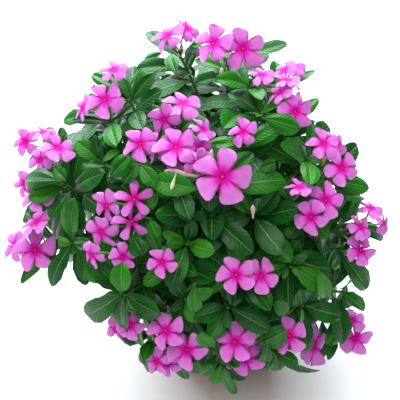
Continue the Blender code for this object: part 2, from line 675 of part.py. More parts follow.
def grow():
    """The whole bush as plain values: its shoots stem by stem, its clusters and its leaves."""
    draw = random.Random(SEED)
    inner = POT_RIM_RADIUS - POT_WALL
    items = [
        ring_item("pot", inner - 0.001, POT_RIM_RADIUS + 0.001, SOIL_TOP, POT_HEIGHT + 0.001),
        drum_item("soil", inner, 0.0, SOIL_TOP + 0.001),
    ]
    clusters = []
    tips = []
    for index, readings in enumerate(CLUSTERS):
        node = f"flower_truss_{index + 1:02d}"
        blooms = [read_bloom(reading, draw) for reading in readings]
        foot, heading, blooms = place_cluster(node, blooms, items)
        clusters.append((node, blooms))
        tips.append((foot, heading, node))
    for across, down in LEAFY_TIPS:
        tip = spot(across, down, mound_depth(across, down) - LEAFY_TIP_DEPTH)
        tips.append((tip, shoot_heading(tip), None))
    for way in back_directions():
        tip = BUSH_CENTRE + BACK_RADIUS * way
        if way.dot(TOWARD) < BACK_BLOOM_EDGE and len(clusters) < len(CLUSTERS) + BACK_CLUSTERS:
            node = f"flower_truss_{len(clusters) + 1:02d}"
            foot, heading, blooms = place_cluster(node, back_cluster(tip, draw), items)
            clusters.append((node, blooms))
            tips.append((foot, heading, node))
        else:
            tips.append((tip, shoot_heading(tip), None))
    items[:] = [item for item in items if item.kind != "stub"]
    nearest, middles = stem_groups([(tip - BUSH_HEART).normalized() for tip, _, _ in tips])
    around = sorted(range(STEM_COUNT), key=lambda stem: math.atan2(middles[stem].y, middles[stem].x))
    shoots = []
    for place, group in enumerate(around):
        node = f"leafy_stem_{place + 1:02d}"
        own = [entry for entry, stem in zip(tips, nearest) if stem == group]
        shoots += route_stem(node, stem_foot(place, middles[group]), own, draw, items)
    return clusters, shoots, grow_leaves(shoots, draw, items)


def make_material(name, colour, roughness):
    material = bpy.data.materials.new(name)
    material.use_nodes = True
    shader = material.node_tree.nodes["Principled BSDF"]
    shader.inputs["Base Color"].default_value = (*colour, 1.0)
    shader.inputs["Roughness"].default_value = roughness
    shader.inputs["Metallic"].default_value = 0.0
    return material


def new_object(name, mesh, collection, material=None):
    piece = bpy.data.objects.new(name, mesh)
    collection.objects.link(piece)
    if material:
        mesh.materials.clear()
        mesh.materials.append(material)
    return piece


def mesh_from(solid, name):
    mesh = bpy.data.meshes.new(name)
    solid.to_mesh(mesh)
    solid.free()
    return mesh


def evaluated_mesh(piece):
    """The piece's mesh as its modifiers or its curve settings make it, in world space."""
    graph = bpy.context.evaluated_depsgraph_get()
    mesh = bpy.data.meshes.new_from_object(piece.evaluated_get(graph), depsgraph=graph)
    mesh.transform(piece.matrix_world)
    return mesh


def shoot_rings(shoot, tiers):
    """How far back from the tip a shoot's square rings stand: at its bends and beside its leaves."""
    bends = [0.0]
    for end, start in zip(shoot.points[::-1], shoot.points[-2::-1]):
        bends.append(bends[-1] + (end - start).length)
    seats = [NODE_STEPS[tier] + way * SEAT_HALF for tier in tiers for way in (-1.0, 1.0)]
    clear = [bend for bend in bends if all(abs(bend - seat) > 2.0 * SEAT_HALF for seat in seats)]
    return sorted(set(clear) | set(seats) | {bends[0], bends[-1]})


def turn_outward(solid):
    bmesh.ops.triangulate(solid, faces=solid.faces)
    bmesh.ops.recalc_face_normals(solid, faces=solid.faces)
    if solid.calc_volume(signed=True) < 0.0:
        bmesh.ops.reverse_faces(solid, faces=solid.faces)


def shoot_mesh(shoot, leaves):
    """A shoot with its leaves as one body: a square tube whose flats run out into the blades."""
    solid = bmesh.new()
    tiers = sorted({leaf.tier for leaf in leaves})
    distances = shoot_rings(shoot, tiers)
    rings = []
    for distance in distances:
        place, heading, side = seat_frame(shoot, distance)
        radius = shoot_radius(shoot, distance)
        rings.append([solid.verts.new(place + radius * turned(side, heading, 90.0 * corner - 45.0))
                      for corner in range(SEATS)])
    seats = {(NODE_STEPS[leaf.tier] - SEAT_HALF, leaf.seat): leaf for leaf in leaves}
    for distance, upper, lower in zip(distances, rings, rings[1:]):
        for corner in range(SEATS):
            after = (corner + 1) % SEATS
            root = (lower[corner], lower[after], upper[after], upper[corner])
            leaf = seats.get((distance, corner))
            if leaf:
                add_blade(solid, root, leaf)
            else:
                solid.faces.new(root)
    solid.faces.new(rings[0])
    solid.faces.new(rings[-1])
    turn_outward(solid)
    return mesh_from(solid, "shoot")


def add_blade(solid, root, leaf):
    """Runs a stem's flat out into a bent blade, raised along its rib, with fine edges."""
    low_left, low_right, high_right, high_left = root
    side = leaf.along.cross(leaf.face)
    if (low_right.co - low_left.co).dot(side) < 0.0:
        low_left, low_right, high_right, high_left = low_right, low_left, high_left, high_right
    rows = []
    for share, half in zip(LEAF_STATIONS, LEAF_HALVES):
        left, right = (solid.verts.new(leaf_point(leaf, share, way * half * leaf.width)) for way in (-1, 1))
        rib = solid.verts.new(leaf_point(leaf, share, 0.0) + RIB_HEIGHT * leaf.face)
        rows.append((left, rib, right))
    tip = solid.verts.new(leaf_point(leaf, 1.0, 0.0))
    (left, rib, right), (far_left, far_rib, far_right) = rows
    for corners in (
        (high_left, left, rib), (high_left, rib, high_right), (high_right, rib, right),
        (low_left, high_left, left)[::-1], (low_right, right, high_right)[::-1],
        (low_left, low_right, right), (low_left, right, left),
        (left, far_left, far_rib), (left, far_rib, rib), (rib, far_rib, far_right), (rib, far_right, right),
        (left, right, far_right), (left, far_right, far_left),
        (far_left, tip, far_rib), (far_rib, tip, far_right), (far_left, far_right, tip),
    ):
        solid.faces.new(corners)


def bloom_mesh(bloom):
    """A bloom as one body: a five-lobed limb with fine edges that narrows into its tube."""
    solid = bmesh.new()
    rim = [solid.verts.new(corner) for corner in limb_rim(bloom)]
    eye = solid.verts.new(bloom.centre - THROAT_DEPTH * bloom.normal)
    points = tube_points(bloom)
    rings = []
    side = bloom.petal
    for index in range(len(points) - 1, -1, -1):
        ahead = (points[min(index + 1, len(points) - 1)] - points[max(index - 1, 0)]).normalized()
        ahead = bloom.normal if index == len(points) - 1 else bloom.heading if index == 0 else ahead
        side = squared(side, ahead)
        rings.append([solid.verts.new(points[index] + TUBE_RADIUS * turned(side, ahead, 120.0 * corner))
                      for corner in range(TUBE_SIDES)])
    count = len(rim)
    for index in range(count):
        after = (index + 1) % count
        solid.faces.new((eye, rim[index], rim[after]))
        corner = round(index * TUBE_SIDES / count) % TUBE_SIDES
        next_corner = round((index + 1) * TUBE_SIDES / count) % TUBE_SIDES
        solid.faces.new((rim[after], rim[index], rings[0][corner]))
        if next_corner != corner:
            solid.faces.new((rim[after], rings[0][corner], rings[0][next_corner]))
    for upper, lower in zip(rings, rings[1:]):
        for corner in range(TUBE_SIDES):
            after = (corner + 1) % TUBE_SIDES
            solid.faces.new((upper[after], upper[corner], lower[corner], lower[after]))
    solid.faces.new(rings[-1])
    turn_outward(solid)
    return mesh_from(solid, "bloom")


def fuse(name, meshes, collection, material):
    """Joins closed meshes into one body with one Boolean union on a collection."""
    if len(meshes) == 1:
        meshes[0].name = name
        return new_object(name, meshes[0], collection, material)
    helpers = bpy.data.collections.new("repeats")
    bpy.context.scene.collection.children.link(helpers)
    base = new_object("base", meshes[0], helpers)
    others = bpy.data.collections.new("others")
    helpers.children.link(others)
    for mesh in meshes[1:]:
        new_object("repeat", mesh, others)
    union = base.modifiers.new("union", "BOOLEAN")
    union.operation = "UNION"
    union.operand_type = "COLLECTION"
    union.collection = others
    union.solver = "MANIFOLD"
    mesh = evaluated_mesh(base)
    for helper in list(helpers.all_objects):
        bpy.data.objects.remove(helper)
    bpy.data.collections.remove(others)
    bpy.data.collections.remove(helpers)
    mesh.name = name
    return new_object(name, mesh, collection, material)


def screw_object(name, profile, steps, collection, material):
    """A turned solid from half of its section, given outer side first, from top to bottom."""
    mesh = bpy.data.meshes.new(name)
    solid = bmesh.new()
    corners = [solid.verts.new((radius, 0.0, height)) for radius, height in profile]
    for start, end in zip(corners, corners[1:]):
        if start.co.x > 0.0 or end.co.x > 0.0:
            solid.edges.new((start, end))
    solid.to_mesh(mesh)
    solid.free()
    piece = new_object(name, mesh, collection, material)
    screw = piece.modifiers.new("turn", "SCREW")
    screw.steps = steps
    screw.render_steps = steps
    screw.use_merge_vertices = True
    screw.merge_threshold = WELD_DISTANCE
    return piece


def outer_radius(height):
    """The radius of the pot's tapered side, below its rim band."""
    share = height / POT_HEIGHT
    return POT_BASE_RADIUS + (POT_RIM_RADIUS - RIM_BAND_STEP - POT_BASE_RADIUS) * share


def build_pot(collection, material):
    band = POT_HEIGHT - RIM_BAND_HEIGHT
    chamfer = 0.002
    profile = [
        (POT_RIM_RADIUS - chamfer, POT_HEIGHT), (POT_RIM_RADIUS, POT_HEIGHT - chamfer),
        (POT_RIM_RADIUS, band), (outer_radius(band), band - RIM_BAND_STEP),
        (POT_BASE_RADIUS, chamfer), (POT_BASE_RADIUS - chamfer, 0.0), (0.0, 0.0),
        (0.0, POT_FLOOR), (outer_radius(POT_FLOOR) - POT_WALL, POT_FLOOR),
        (POT_RIM_RADIUS - RIM_BAND_STEP - POT_WALL, POT_HEIGHT), (POT_RIM_RADIUS - chamfer, POT_HEIGHT),
    ]
    pot = screw_object("pot", profile, POT_SIDES, collection, material)
    turns = [math.tau * index / DRAIN_COUNT for index in range(DRAIN_COUNT)]
    centres = [Vector((DRAIN_RING * math.cos(turn), DRAIN_RING * math.sin(turn), 0.0)) for turn in turns]
    cut_holes(pot, "drain holes", centres, DRAIN_RADIUS, 2 * POT_FLOOR)
    return pot


def cut_holes(piece, name, centres, radius, depth):
    """Cuts plain upright round holes, this deep both ways from their centres."""
    cutters = bpy.data.collections.new(name)
    bpy.data.collections["cutters"].children.link(cutters)
    for centre in centres:
        solid = bmesh.new()
        bmesh.ops.create_cone(solid, cap_ends=True, segments=HOLE_SIDES, radius1=radius, radius2=radius,
                              depth=2 * depth)
        bmesh.ops.translate(solid, verts=solid.verts, vec=centre)
        cutter = new_object("hole", mesh_from(solid, "hole"), cutters)
        cutter.hide_render = True
        cutter.display_type = "WIRE"
    holes = piece.modifiers.new(name, "BOOLEAN")
    holes.operation = "DIFFERENCE"
    holes.operand_type = "COLLECTION"
    holes.collection = cutters


def build_soil(feet, collection, material):
    """Potting mix that fills the pot, with one plain blind hole for each stem."""
    low = POT_FLOOR + FIT_GAP
    inner = outer_radius(low) - POT_WALL - FIT_GAP
    outer = outer_radius(SOIL_TOP) - POT_WALL - FIT_GAP
    solid = bmesh.new()
    bmesh.ops.create_cone(solid, cap_ends=True, segments=POT_SIDES, radius1=inner * 0.998,
                          radius2=outer * 0.998, depth=SOIL_TOP - low)
    bmesh.ops.translate(solid, verts=solid.verts, vec=(0.0, 0.0, (SOIL_TOP + low) / 2))
    soil = new_object("soil", mesh_from(solid, "soil"), collection, material)
    centres = [Vector((foot.x, foot.y, SOIL_TOP)) for foot in feet]
    cut_holes(soil, "stem holes", centres, HOLE_RADIUS, STEM_DEPTH + FIT_GAP)
    return soil


def main():
    for piece in list(bpy.data.objects):
        bpy.data.objects.remove(piece)
    collection = bpy.data.collections.new("potted_madagascar_periwinkle")
    bpy.context.scene.collection.children.link(collection)
    bpy.context.scene.collection.children.link(bpy.data.collections.new("cutters"))
    clay = make_material("clay", (0.45, 0.19, 0.10), 0.85)
    soil = make_material("potting mix", (0.045, 0.028, 0.018), 0.95)
    green = make_material("leaf green", (0.035, 0.17, 0.045), 0.38)
    pink = make_material("petal pink", (0.83, 0.16, 0.68), 0.60)

    clusters, shoots, leaves = grow()
    stems = sorted({shoot.stem for shoot in shoots})
    leaders = [next(shoot for shoot in shoots if shoot.stem == stem) for stem in stems]
    build_pot(collection, clay)
    build_soil([leader.points[0] for leader in leaders], collection, soil)
    for stem in stems:
        meshes = [shoot_mesh(shoot, [leaf for leaf in leaves if leaf.shoot == index])
                  for index, shoot in enumerate(shoots) if shoot.stem == stem]
        fuse(stem, meshes, collection, green)
    for node, blooms in clusters:
        fuse(node, [bloom_mesh(bloom) for bloom in blooms], collection, pink)


main()
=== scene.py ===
"""A potted Madagascar periwinkle, dressed: fine leaves, blooms, stems, pot and soil round the
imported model's frame, with a plain studio and a camera at the photograph's viewing angle."""

import itertools
import json
import math
import random
from collections import namedtuple

import bmesh
import bpy
from bpy.props import FloatProperty, FloatVectorProperty, IntProperty, PointerProperty
from mathutils import Matrix, Vector, noise
from mathutils.bvhtree import BVHTree

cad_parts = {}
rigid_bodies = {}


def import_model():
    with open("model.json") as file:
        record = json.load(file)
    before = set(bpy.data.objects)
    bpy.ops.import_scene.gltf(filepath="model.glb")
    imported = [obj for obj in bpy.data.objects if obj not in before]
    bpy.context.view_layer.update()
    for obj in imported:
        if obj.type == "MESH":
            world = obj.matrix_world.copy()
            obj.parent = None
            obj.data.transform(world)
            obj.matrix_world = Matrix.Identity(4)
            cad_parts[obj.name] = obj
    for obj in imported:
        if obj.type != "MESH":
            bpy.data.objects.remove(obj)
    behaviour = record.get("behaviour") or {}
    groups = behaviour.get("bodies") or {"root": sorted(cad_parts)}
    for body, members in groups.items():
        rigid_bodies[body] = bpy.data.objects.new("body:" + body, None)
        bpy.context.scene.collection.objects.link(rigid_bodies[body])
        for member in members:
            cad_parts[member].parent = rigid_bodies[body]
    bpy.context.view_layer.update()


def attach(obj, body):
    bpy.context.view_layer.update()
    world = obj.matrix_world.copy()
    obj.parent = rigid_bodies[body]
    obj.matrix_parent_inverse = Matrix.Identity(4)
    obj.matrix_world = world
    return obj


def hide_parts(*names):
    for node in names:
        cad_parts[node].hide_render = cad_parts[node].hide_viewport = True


bl_info = {
    "name": "Potted Madagascar Periwinkle",
    "version": (1, 0, 0),
    "blender": (4, 5, 0),
    "location": "View3D > Sidebar > Periwinkle",
    "description": "Builds a flowering periwinkle bush in a clay pot",
    "category": "Add Mesh",
}

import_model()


# Pot and soil
POT_HEIGHT = 0.130
POT_BASE_RADIUS = 0.060
POT_RIM_RADIUS = 0.090
POT_WALL = 0.005
POT_FLOOR = 0.006
RIM_BAND_HEIGHT = 0.028
RIM_BAND_STEP = 0.004
DRAIN_COUNT = 3
DRAIN_RADIUS = 0.006
DRAIN_RING = 0.030
SOIL_TOP = 0.116
FIT_GAP = 0.0003
WALL_GUARD = 0.001
MILLIMETRE = 0.001
SKYWARD = Vector((0.0, 0.0, 1.0))

# Stems
STEM_COUNT = 12
STEM_RADIUS = 0.0026
SHOOT_RADIUS = 0.0020
TIP_RADIUS = 0.0015
STEM_DEPTH = 0.009
STEM_RING = (0.018, 0.046)
STEM_RISE = 0.075
STEM_TRIES = 80
STEM_FIRM = 20
STEM_SWAY = 0.025
STEM_END = 0.3
FORK_SHARE = 0.62
FORK_FALL = 0.30
FORK_PLAY = 0.20
FORK_STEP = 0.05
FORK_LEAN = 0.7
FORK_RISE = 0.35
CROWN_HEIGHT = 0.24
CROWN_RISE = 6.0
GROUP_ROUNDS = 10
SAME_HEADING = 1e-6
LEADER_SHARES = (-0.1, 0.0, 0.35, 0.7, 0.88, 1.0)
SIDE_SHARES = (0.0, 0.5, 1.0)
BUSH_HEART = Vector((0.0, 0.0, 0.195))
SIDE_HINT = Vector((0.2, -0.3, 1.0))
TUBE_HINT = Vector((0.31, 0.52, 0.80))

# Leaves
RIB_HEIGHT = 0.0013
LEAF_LENGTHS = (0.022, 0.066)
LEAF_STATIONS = (0.38, 0.78)
LEAF_HALVES = (0.43, 0.46)
LEAF_END = 0.10
LEAF_BEND = 0.60
LEAF_START = -0.35
LEAF_SHIFTS = (0, 7, -7, 14, -14, 22, -22, 32, -32, 44, -44)
LEAF_ROLLS = (0, 18, -18, 36, -36)
LEAF_SCALES = (1.0, 0.86, 0.74)
LEAF_LIFT = 0.09
LEAF_TURN = 0.2
WIDTH_SHARE = 0.95
OUTWARD_SHARE = 0.4
VIEWER_SHARE = 1.6
OWN_STEM_SHARE = 0.25
STALK_SINK = 0.7
SEATS = 4
SEAT_MISS = 38.0
SEAT_DEPTH = -0.055
LEAF_LIMIT = 326
FACE_VIEWER = 0.8
LEAST_FACING = 0.35
LEAST_SPREAD = 0.35
HIDDEN_TIERS = 1
NODE_STEPS = (0.003, 0.014, 0.027, 0.041)
CLEARANCE = 0.0007
LOWEST_LEAF = 0.030
LEAFY_TIP_DEPTH = 0.022

# Blooms
PETALS = 5
EYE_DEPTH = 0.0015
BLOOM_RADII = (0.0135, 0.0255)
PETAL_TURNS = (-5.0, 5.0)
PETAL_LENGTHS = (0.94, 1.04)
PETAL_WIDTHS = (0.92, 1.06)
PETAL_CURLS = (-0.0020, 0.0008)
LOBE_TURNS = (-36.0, -22.0, 0.0, 22.0)
LOBE_SHARES = (0.28, 0.86, 1.03, 0.86)
NARROW_WIDTH = 0.60
BLOOM_SHIFTS = (0, 3, -3, 6, -6, 9, -9, 12, -12, 16, -16, 20, -20, 24, -24, 29, -29, 34, -34)
FOOT_TRIES = [(length, lean) for length in (0.027, 0.023, 0.031, 0.019, 0.035)
              for lean in (0.5, 0.0, 1.0, -0.5, 1.6, -1.2)]
THROAT_DEPTH = 0.0008
TUBE_RADIUS = 0.0011
TUBE_LENGTH = 0.027
FOOT_RUN = 0.0025
STUB_RUN = 0.024
JOINT_RUN = 0.003
FOOT_SPREAD = 0.0005
FOOT_STEP = 0.0004
FOOT_SINK = 0.3
TUBE_SWEEPS = (0.3, 0.45)

# The photograph: 400 pixels square, seen from the front and above
PIXEL = 0.00105
IMAGE_MIDDLE = 200.0
VIEW_ELEVATION = math.radians(42.0)
VIEW_DISTANCE = 1.15
BUSH_CENTRE = Vector((-0.025, 0.0, 0.2175))
BUSH_HALF_WIDTH = 0.200
BUSH_HALF_HEIGHT = 0.190
BUSH_HALF_DEPTH = 0.150
RIGHT = Vector((1.0, 0.0, 0.0))
UP = Vector((0.0, math.sin(VIEW_ELEVATION), math.cos(VIEW_ELEVATION)))
TOWARD = Vector((0.0, -math.cos(VIEW_ELEVATION), math.sin(VIEW_ELEVATION)))

# Every bloom that shows, cluster by cluster, read off the photograph: the pixel of its
# eye, its widest span in pixels, its lean to the right and upward, and one petal's angle.
CLUSTERS = [
    [(167, 36, 34, -0.45, 0.50, 90), (187, 28, 30, 0.45, 0.60, 60)],
    [(213, 43, 40, -0.30, 0.30, 75), (243, 48, 45, 0.05, 0.10, 95)],
    [(113, 70, 30, -0.20, 0.65, 90)],
    [(105, 100, 38, -0.10, 0.25, 45), (82, 108, 30, -0.75, 0.30, 120)],
    [(25, 142, 30, -0.40, 0.20, 100), (42, 132, 28, -0.10, 0.85, 90)],
    [(58, 148, 36, 0.40, 0.60, 20), (40, 160, 28, -0.50, 0.10, 200)],
    [(24, 184, 22, -0.50, 0.10, 100)],
    [(37, 196, 34, -0.20, 0.45, 200)],
    [(36, 222, 40, -0.45, 0.70, 30), (35, 250, 42, 0.00, 0.10, 90), (15, 246, 32, -0.60, 0.10, 120)],
    [(182, 103, 38, 0.10, 0.70, 95), (164, 120, 32, -0.40, -0.30, 220)],
    [(140, 144, 37, -0.20, 0.20, 125), (155, 147, 34, -0.60, 0.10, 180)],
    [(176, 147, 44, 0.00, 0.40, 105), (175, 160, 36, -0.35, -0.50, 230)],
    [(200, 148, 34, 0.45, 0.35, 30), (197, 163, 30, 0.30, -0.60, 290)],
    [(203, 129, 27, 0.60, 0.50, 40)],
    [(262, 75, 28, 0.00, 0.75, 90), (284, 70, 26, -0.50, 0.60, 120), (294, 66, 26, 0.20, 0.75, 80)],
    [(286, 81, 26, 0.10, 0.85, 90), (279, 93, 30, -0.50, 0.65, 130)],
    [(297, 101, 28, 0.45, 0.65, 60), (295, 112, 36, 0.10, 0.10, 165)],
    [(243, 132, 27, -0.20, 0.30, 90)],
    [(324, 144, 34, 0.10, 0.45, 100), (337, 143, 28, 0.60, 0.40, 40)],
    [(341, 168, 36, 0.20, 0.15, 45)],
    [(222, 177, 57, 0.00, 0.05, 75)],
    [(299, 187, 28, -0.10, 0.80, 90)],
    [(326, 200, 38, 0.20, 0.25, 70), (311, 217, 36, -0.20, -0.10, 125)],
    [(371, 208, 27, 0.30, 0.75, 60), (384, 223, 26, 0.80, 0.20, 20)],
    [(361, 227, 26, 0.50, 0.40, 40)],
    [(361, 250, 34, 0.30, 0.10, 125)],
    [(134, 199, 42, 0.00, 0.10, 95), (106, 206, 34, -0.60, -0.30, 200)],
    [(131, 222, 38, 0.10, -0.10, 100), (101, 232, 36, -0.40, -0.45, 150)],
    [(92, 255, 27, -0.60, -0.30, 200), (123, 257, 26, 0.00, -0.20, 90)],
    [(162, 262, 30, -0.10, 0.10, 115)],
    [(236, 275, 40, -0.10, 0.10, 105), (261, 276, 38, 0.25, 0.10, 125)],
    [(116, 330, 28, -0.60, -0.35, 200), (130, 325, 30, 0.20, 0.20, 60)],
    [(166, 331, 38, -0.10, 0.10, 100), (187, 350, 40, 0.05, -0.10, 125)],
    [(157, 361, 30, -0.40, -0.30, 150), (168, 365, 28, 0.10, -0.45, 250)],
    [(235, 342, 42, -0.10, 0.25, 85), (246, 359, 40, 0.15, -0.20, 40)],
    [(289, 336, 38, -0.10, 0.10, 95), (313, 345, 44, 0.70, 0.10, 85)],
    [(355, 338, 36, 0.20, 0.10, 75), (352, 320, 28, 0.00, 0.70, 90)],
]

# Blooms whose petals are slim, by the pixel of their eye
NARROW_PETALLED = {(134, 199), (131, 222), (155, 147)}

# Shoot tips that carry no bloom, in pixels
LEAFY_TIPS = [
    (122, 294), (187, 244), (253, 216), (291, 267), (62, 184), (70, 243), (303, 306), (186, 300),
    (129, 99), (262, 112), (152, 184), (98, 160), (345, 292), (228, 308), (308, 158), (212, 214),
    (208, 338), (272, 352), (222, 366), (150, 345),
]

# Large leaves that show clearly: the pixels of their foot and tip, and their width in pixels
CLEAR_LEAVES = [
    (211, 200, 209, 239, 24), (223, 214, 252, 254, 23), (240, 190, 285, 180, 24),
    (256, 224, 297, 210, 24), (254, 235, 288, 263, 23), (291, 268, 324, 287, 21),
    (237, 321, 201, 303, 24), (247, 327, 252, 302, 20), (256, 345, 287, 330, 22),
    (340, 252, 366, 290, 23), (345, 295, 353, 305, 20), (364, 328, 376, 315, 18),
    (366, 340, 384, 337, 18), (330, 340, 328, 374, 20), (300, 355, 319, 371, 18),
    (235, 355, 228, 382, 22), (262, 350, 280, 370, 20), (122, 294, 88, 318, 24),
    (122, 294, 122, 262, 20), (122, 294, 161, 314, 24), (124, 296, 122, 328, 19),
    (112, 285, 88, 258, 26), (188, 247, 171, 287, 20), (184, 245, 160, 243, 16),
    (190, 246, 214, 252, 18), (163, 297, 181, 327, 20), (205, 211, 156, 216, 23),
    (200, 190, 152, 180, 22), (133, 236, 143, 256, 19), (133, 322, 142, 347, 19),
    (165, 350, 146, 371, 18), (196, 352, 205, 368, 16), (70, 268, 20, 283, 19),
    (70, 256, 49, 284, 19), (60, 181, 25, 180, 22), (58, 186, 28, 197, 18),
    (75, 187, 105, 173, 22), (50, 237, 64, 212, 15), (72, 238, 75, 199, 22),
    (66, 246, 96, 240, 20), (165, 48, 146, 32, 18), (178, 72, 138, 70, 22),
    (180, 66, 198, 46, 22), (119, 120, 117, 146, 20), (110, 90, 92, 74, 16),
    (118, 90, 122, 70, 14), (98, 125, 72, 119, 14), (226, 86, 192, 82, 16),
    (231, 107, 223, 128, 24), (241, 125, 285, 115, 23), (262, 60, 287, 42, 20),
    (295, 80, 314, 69, 12), (300, 105, 319, 99, 16), (306, 126, 326, 116, 18),
    (337, 160, 358, 145, 20), (342, 184, 369, 189, 20), (335, 200, 362, 197, 20),
    (356, 240, 384, 236, 18), (318, 231, 321, 253, 22), (129, 98, 154, 74, 20),
    (134, 98, 163, 110, 20), (130, 110, 142, 130, 18), (262, 230, 256, 200, 16),
    (222, 145, 236, 134, 18), (305, 160, 281, 146, 20), (262, 118, 300, 130, 20),
    (195, 300, 198, 322, 16), (195, 298, 212, 290, 14), (310, 310, 300, 290, 20),
    (305, 312, 330, 318, 18), (98, 160, 78, 140, 18), (152, 184, 128, 160, 20),
]

# The side of the bush that the photograph doesn't show: shoot tips evenly spread over it
SPREAD_POINTS = 70
BACK_EDGE = -0.06
BACK_LOWEST = -0.42
BACK_RADIUS = 0.148
BACK_CLUSTERS = 8
BACK_BLOOM_EDGE = -0.30
BACK_BLOOM_RADIUS = 0.0195
BACK_SIZES = (0.9, 1.12)
BACK_TURNS = (50.0, 130.0)
BACK_LEANS = (0.25, 0.5)
BACK_LIFT = 0.25
BACK_REACHES = (-0.002, 0.003)
BACK_ASIDE = 0.019
SEED = 7

Bloom = namedtuple("Bloom", "centre normal petal radius petals foot heading")
Shoot = namedtuple("Shoot", "points heading stem turn stout hidden")
Leaf = namedtuple("Leaf", "foot along face length width stem shoot tier seat")
Item = namedtuple("Item", "node kind tree middle reach")

# How leaves stand on their shoots, tier by tier from the tip: their steps down it, lengths and angles;
# the tries to set one, and after how many it is fully loose; how far each try may swing, bend and roll,
# and how that eases; the blade's droop, and what its face turns to; its sizes, shrinking and widths
Habit = namedtuple("Habit", "steps lengths angles tries firm swing bends bend_ease droop ahead skyward "
                            "outward roll roll_ease sizes shrink widths")
PAIRS = Habit(
    steps=NODE_STEPS, lengths=(0.042, 0.050, 0.054, 0.052), angles=(58.0, 72.0, 82.0, 88.0),
    tries=26, firm=14, swing=40.0, bends=(-25.0, 20.0), bend_ease=(0.0, 1.0), droop=0.12,
    ahead=1.0, skyward=0.3, outward=0.0, roll=25.0, roll_ease=(0.3, 0.7),
    sizes=(0.9, 1.15), shrink=0.30, widths=(0.44, 0.52))


def spot(across, down, depth):
    """The place that shows at a pixel, this far from the bush's centre towards the viewer."""
    shrink = 1.0 - depth / VIEW_DISTANCE
    flat = (across - IMAGE_MIDDLE) * RIGHT + (IMAGE_MIDDLE - down) * UP
    return BUSH_CENTRE + depth * TOWARD + shrink * PIXEL * flat


def mound_spot(across, down, shift):
    """The place that shows at a pixel, this far in front of the bush's rounded front."""
    return spot(across, down, mound_depth(across, down) + shift)


def nearness(place):
    """How far a place lies towards the viewer from the bush's centre."""
    return (place - BUSH_CENTRE).dot(TOWARD)


def from_heart(place):
    return (place - BUSH_HEART).normalized()


def swung(first, second, angle):
    """The direction that stands this angle off the first one, towards the second."""
    return math.cos(angle) * first + math.sin(angle) * second


def ring_point(radius, turn, height):
    return Vector((radius * math.cos(turn), radius * math.sin(turn), height))


def run_length(points):
    return sum((end - start).length for start, end in zip(points, points[1:]))


def heading_at(points, index):
    """The heading of a run of points at one of them."""
    return (points[min(index + 1, len(points) - 1)] - points[max(index - 1, 0)]).normalized()


def tip_side(shoot, turn):
    """A side of a shoot at its tip, square to its heading."""
    return turned(squared(SIDE_HINT, shoot.heading), shoot.heading, turn)


def pixel_of(place):
    """The pixel at which a place shows, as a flat vector, with its depth towards the viewer."""
    offset = place - BUSH_CENTRE
    depth = offset.dot(TOWARD)
    scale = PIXEL * (1.0 - depth / VIEW_DISTANCE)
    return Vector((IMAGE_MIDDLE + offset.dot(RIGHT) / scale, IMAGE_MIDDLE - offset.dot(UP) / scale)), depth


def mound_depth(across, down):
    """How far the bush's rounded front stands towards the viewer at a pixel."""
    right = (across - IMAGE_MIDDLE) * PIXEL / BUSH_HALF_WIDTH
    up = (IMAGE_MIDDLE - down) * PIXEL / BUSH_HALF_HEIGHT
    return BUSH_HALF_DEPTH * math.sqrt(max(0.0, 1.0 - right * right - up * up))


def facing(right, up):
    """The direction that leans this far to the right and upward from the viewer's."""
    return right * RIGHT + up * UP + math.sqrt(1.0 - right * right - up * up) * TOWARD


def squared(direction, axis):
    """The part of a direction that lies square to an axis, as a unit vector."""
    return (direction - direction.dot(axis) * axis).normalized()


def turned(direction, axis, degrees):
    return Matrix.Rotation(math.radians(degrees), 3, axis) @ direction


def bezier(ends, share):
    start, first, second, end = ends
    rest = 1.0 - share
    return (rest ** 3 * start + 3 * rest ** 2 * share * first
            + 3 * rest * share ** 2 * second + share ** 3 * end)


def on_run(points, shares, share):
    """The place on a run of points that were taken at these shares of a curve."""
    for index in range(len(points) - 1):
        if share <= shares[index + 1]:
            part = (share - shares[index]) / (shares[index + 1] - shares[index])
            return points[index].lerp(points[index + 1], part)
    return points[-1].copy()


def back_along(points, distance):
    """The place and heading on a run of points, this far back from its last one."""
    for end, start in zip(points[::-1], points[-2::-1]):
        length = (end - start).length
        if distance <= length:
            return end.lerp(start, distance / length), (end - start).normalized()
        distance -= length
    return points[0].copy(), (points[1] - points[0]).normalized()


def seat_frame(shoot, distance):
    """The place, heading and side of a shoot's square section, this far back from its tip."""
    place, heading = back_along(shoot.points, distance)
    side = tip_side(shoot, shoot.turn)
    for end, start in zip(shoot.points[::-1], shoot.points[-2::-1]):
        ahead = (end - start).normalized()
        side = squared(side, ahead)
        if (ahead - heading).length < SAME_HEADING:
            break
    return place, heading, side


def shoot_radius(shoot, distance):
    """Stems taper evenly from their foot to a slim tip."""
    return TIP_RADIUS + (shoot.stout - TIP_RADIUS) * min(1.0, distance / run_length(shoot.points))


def make_item(node, kind, corners, faces):
    middle = sum(corners, Vector()) / len(corners)
    reach = max((corner - middle).length for corner in corners)
    return Item(node, kind, BVHTree.FromPolygons(corners, faces), middle, reach)


def is_clear(item, items):
    """Whether an item crosses none of the others."""
    for other in items:
        near = (other.middle - item.middle).length <= other.reach + item.reach
        if near and item.tree.overlap(other.tree):
            return False
    return True


def sleeve_item(node, kind, corners, sides, capped=True):
    """Rings of corners, joined into a tube, to test for crossings."""
    faces = [tuple(range(sides)), tuple(range(len(corners) - sides, len(corners)))] if capped else []
    for corner in range(len(corners) - sides):
        after = corner + 1 if (corner + 1) % sides else corner + 1 - sides
        faces.append((corner, after, after + sides, corner + sides))
    return make_item(node, kind, corners, faces)


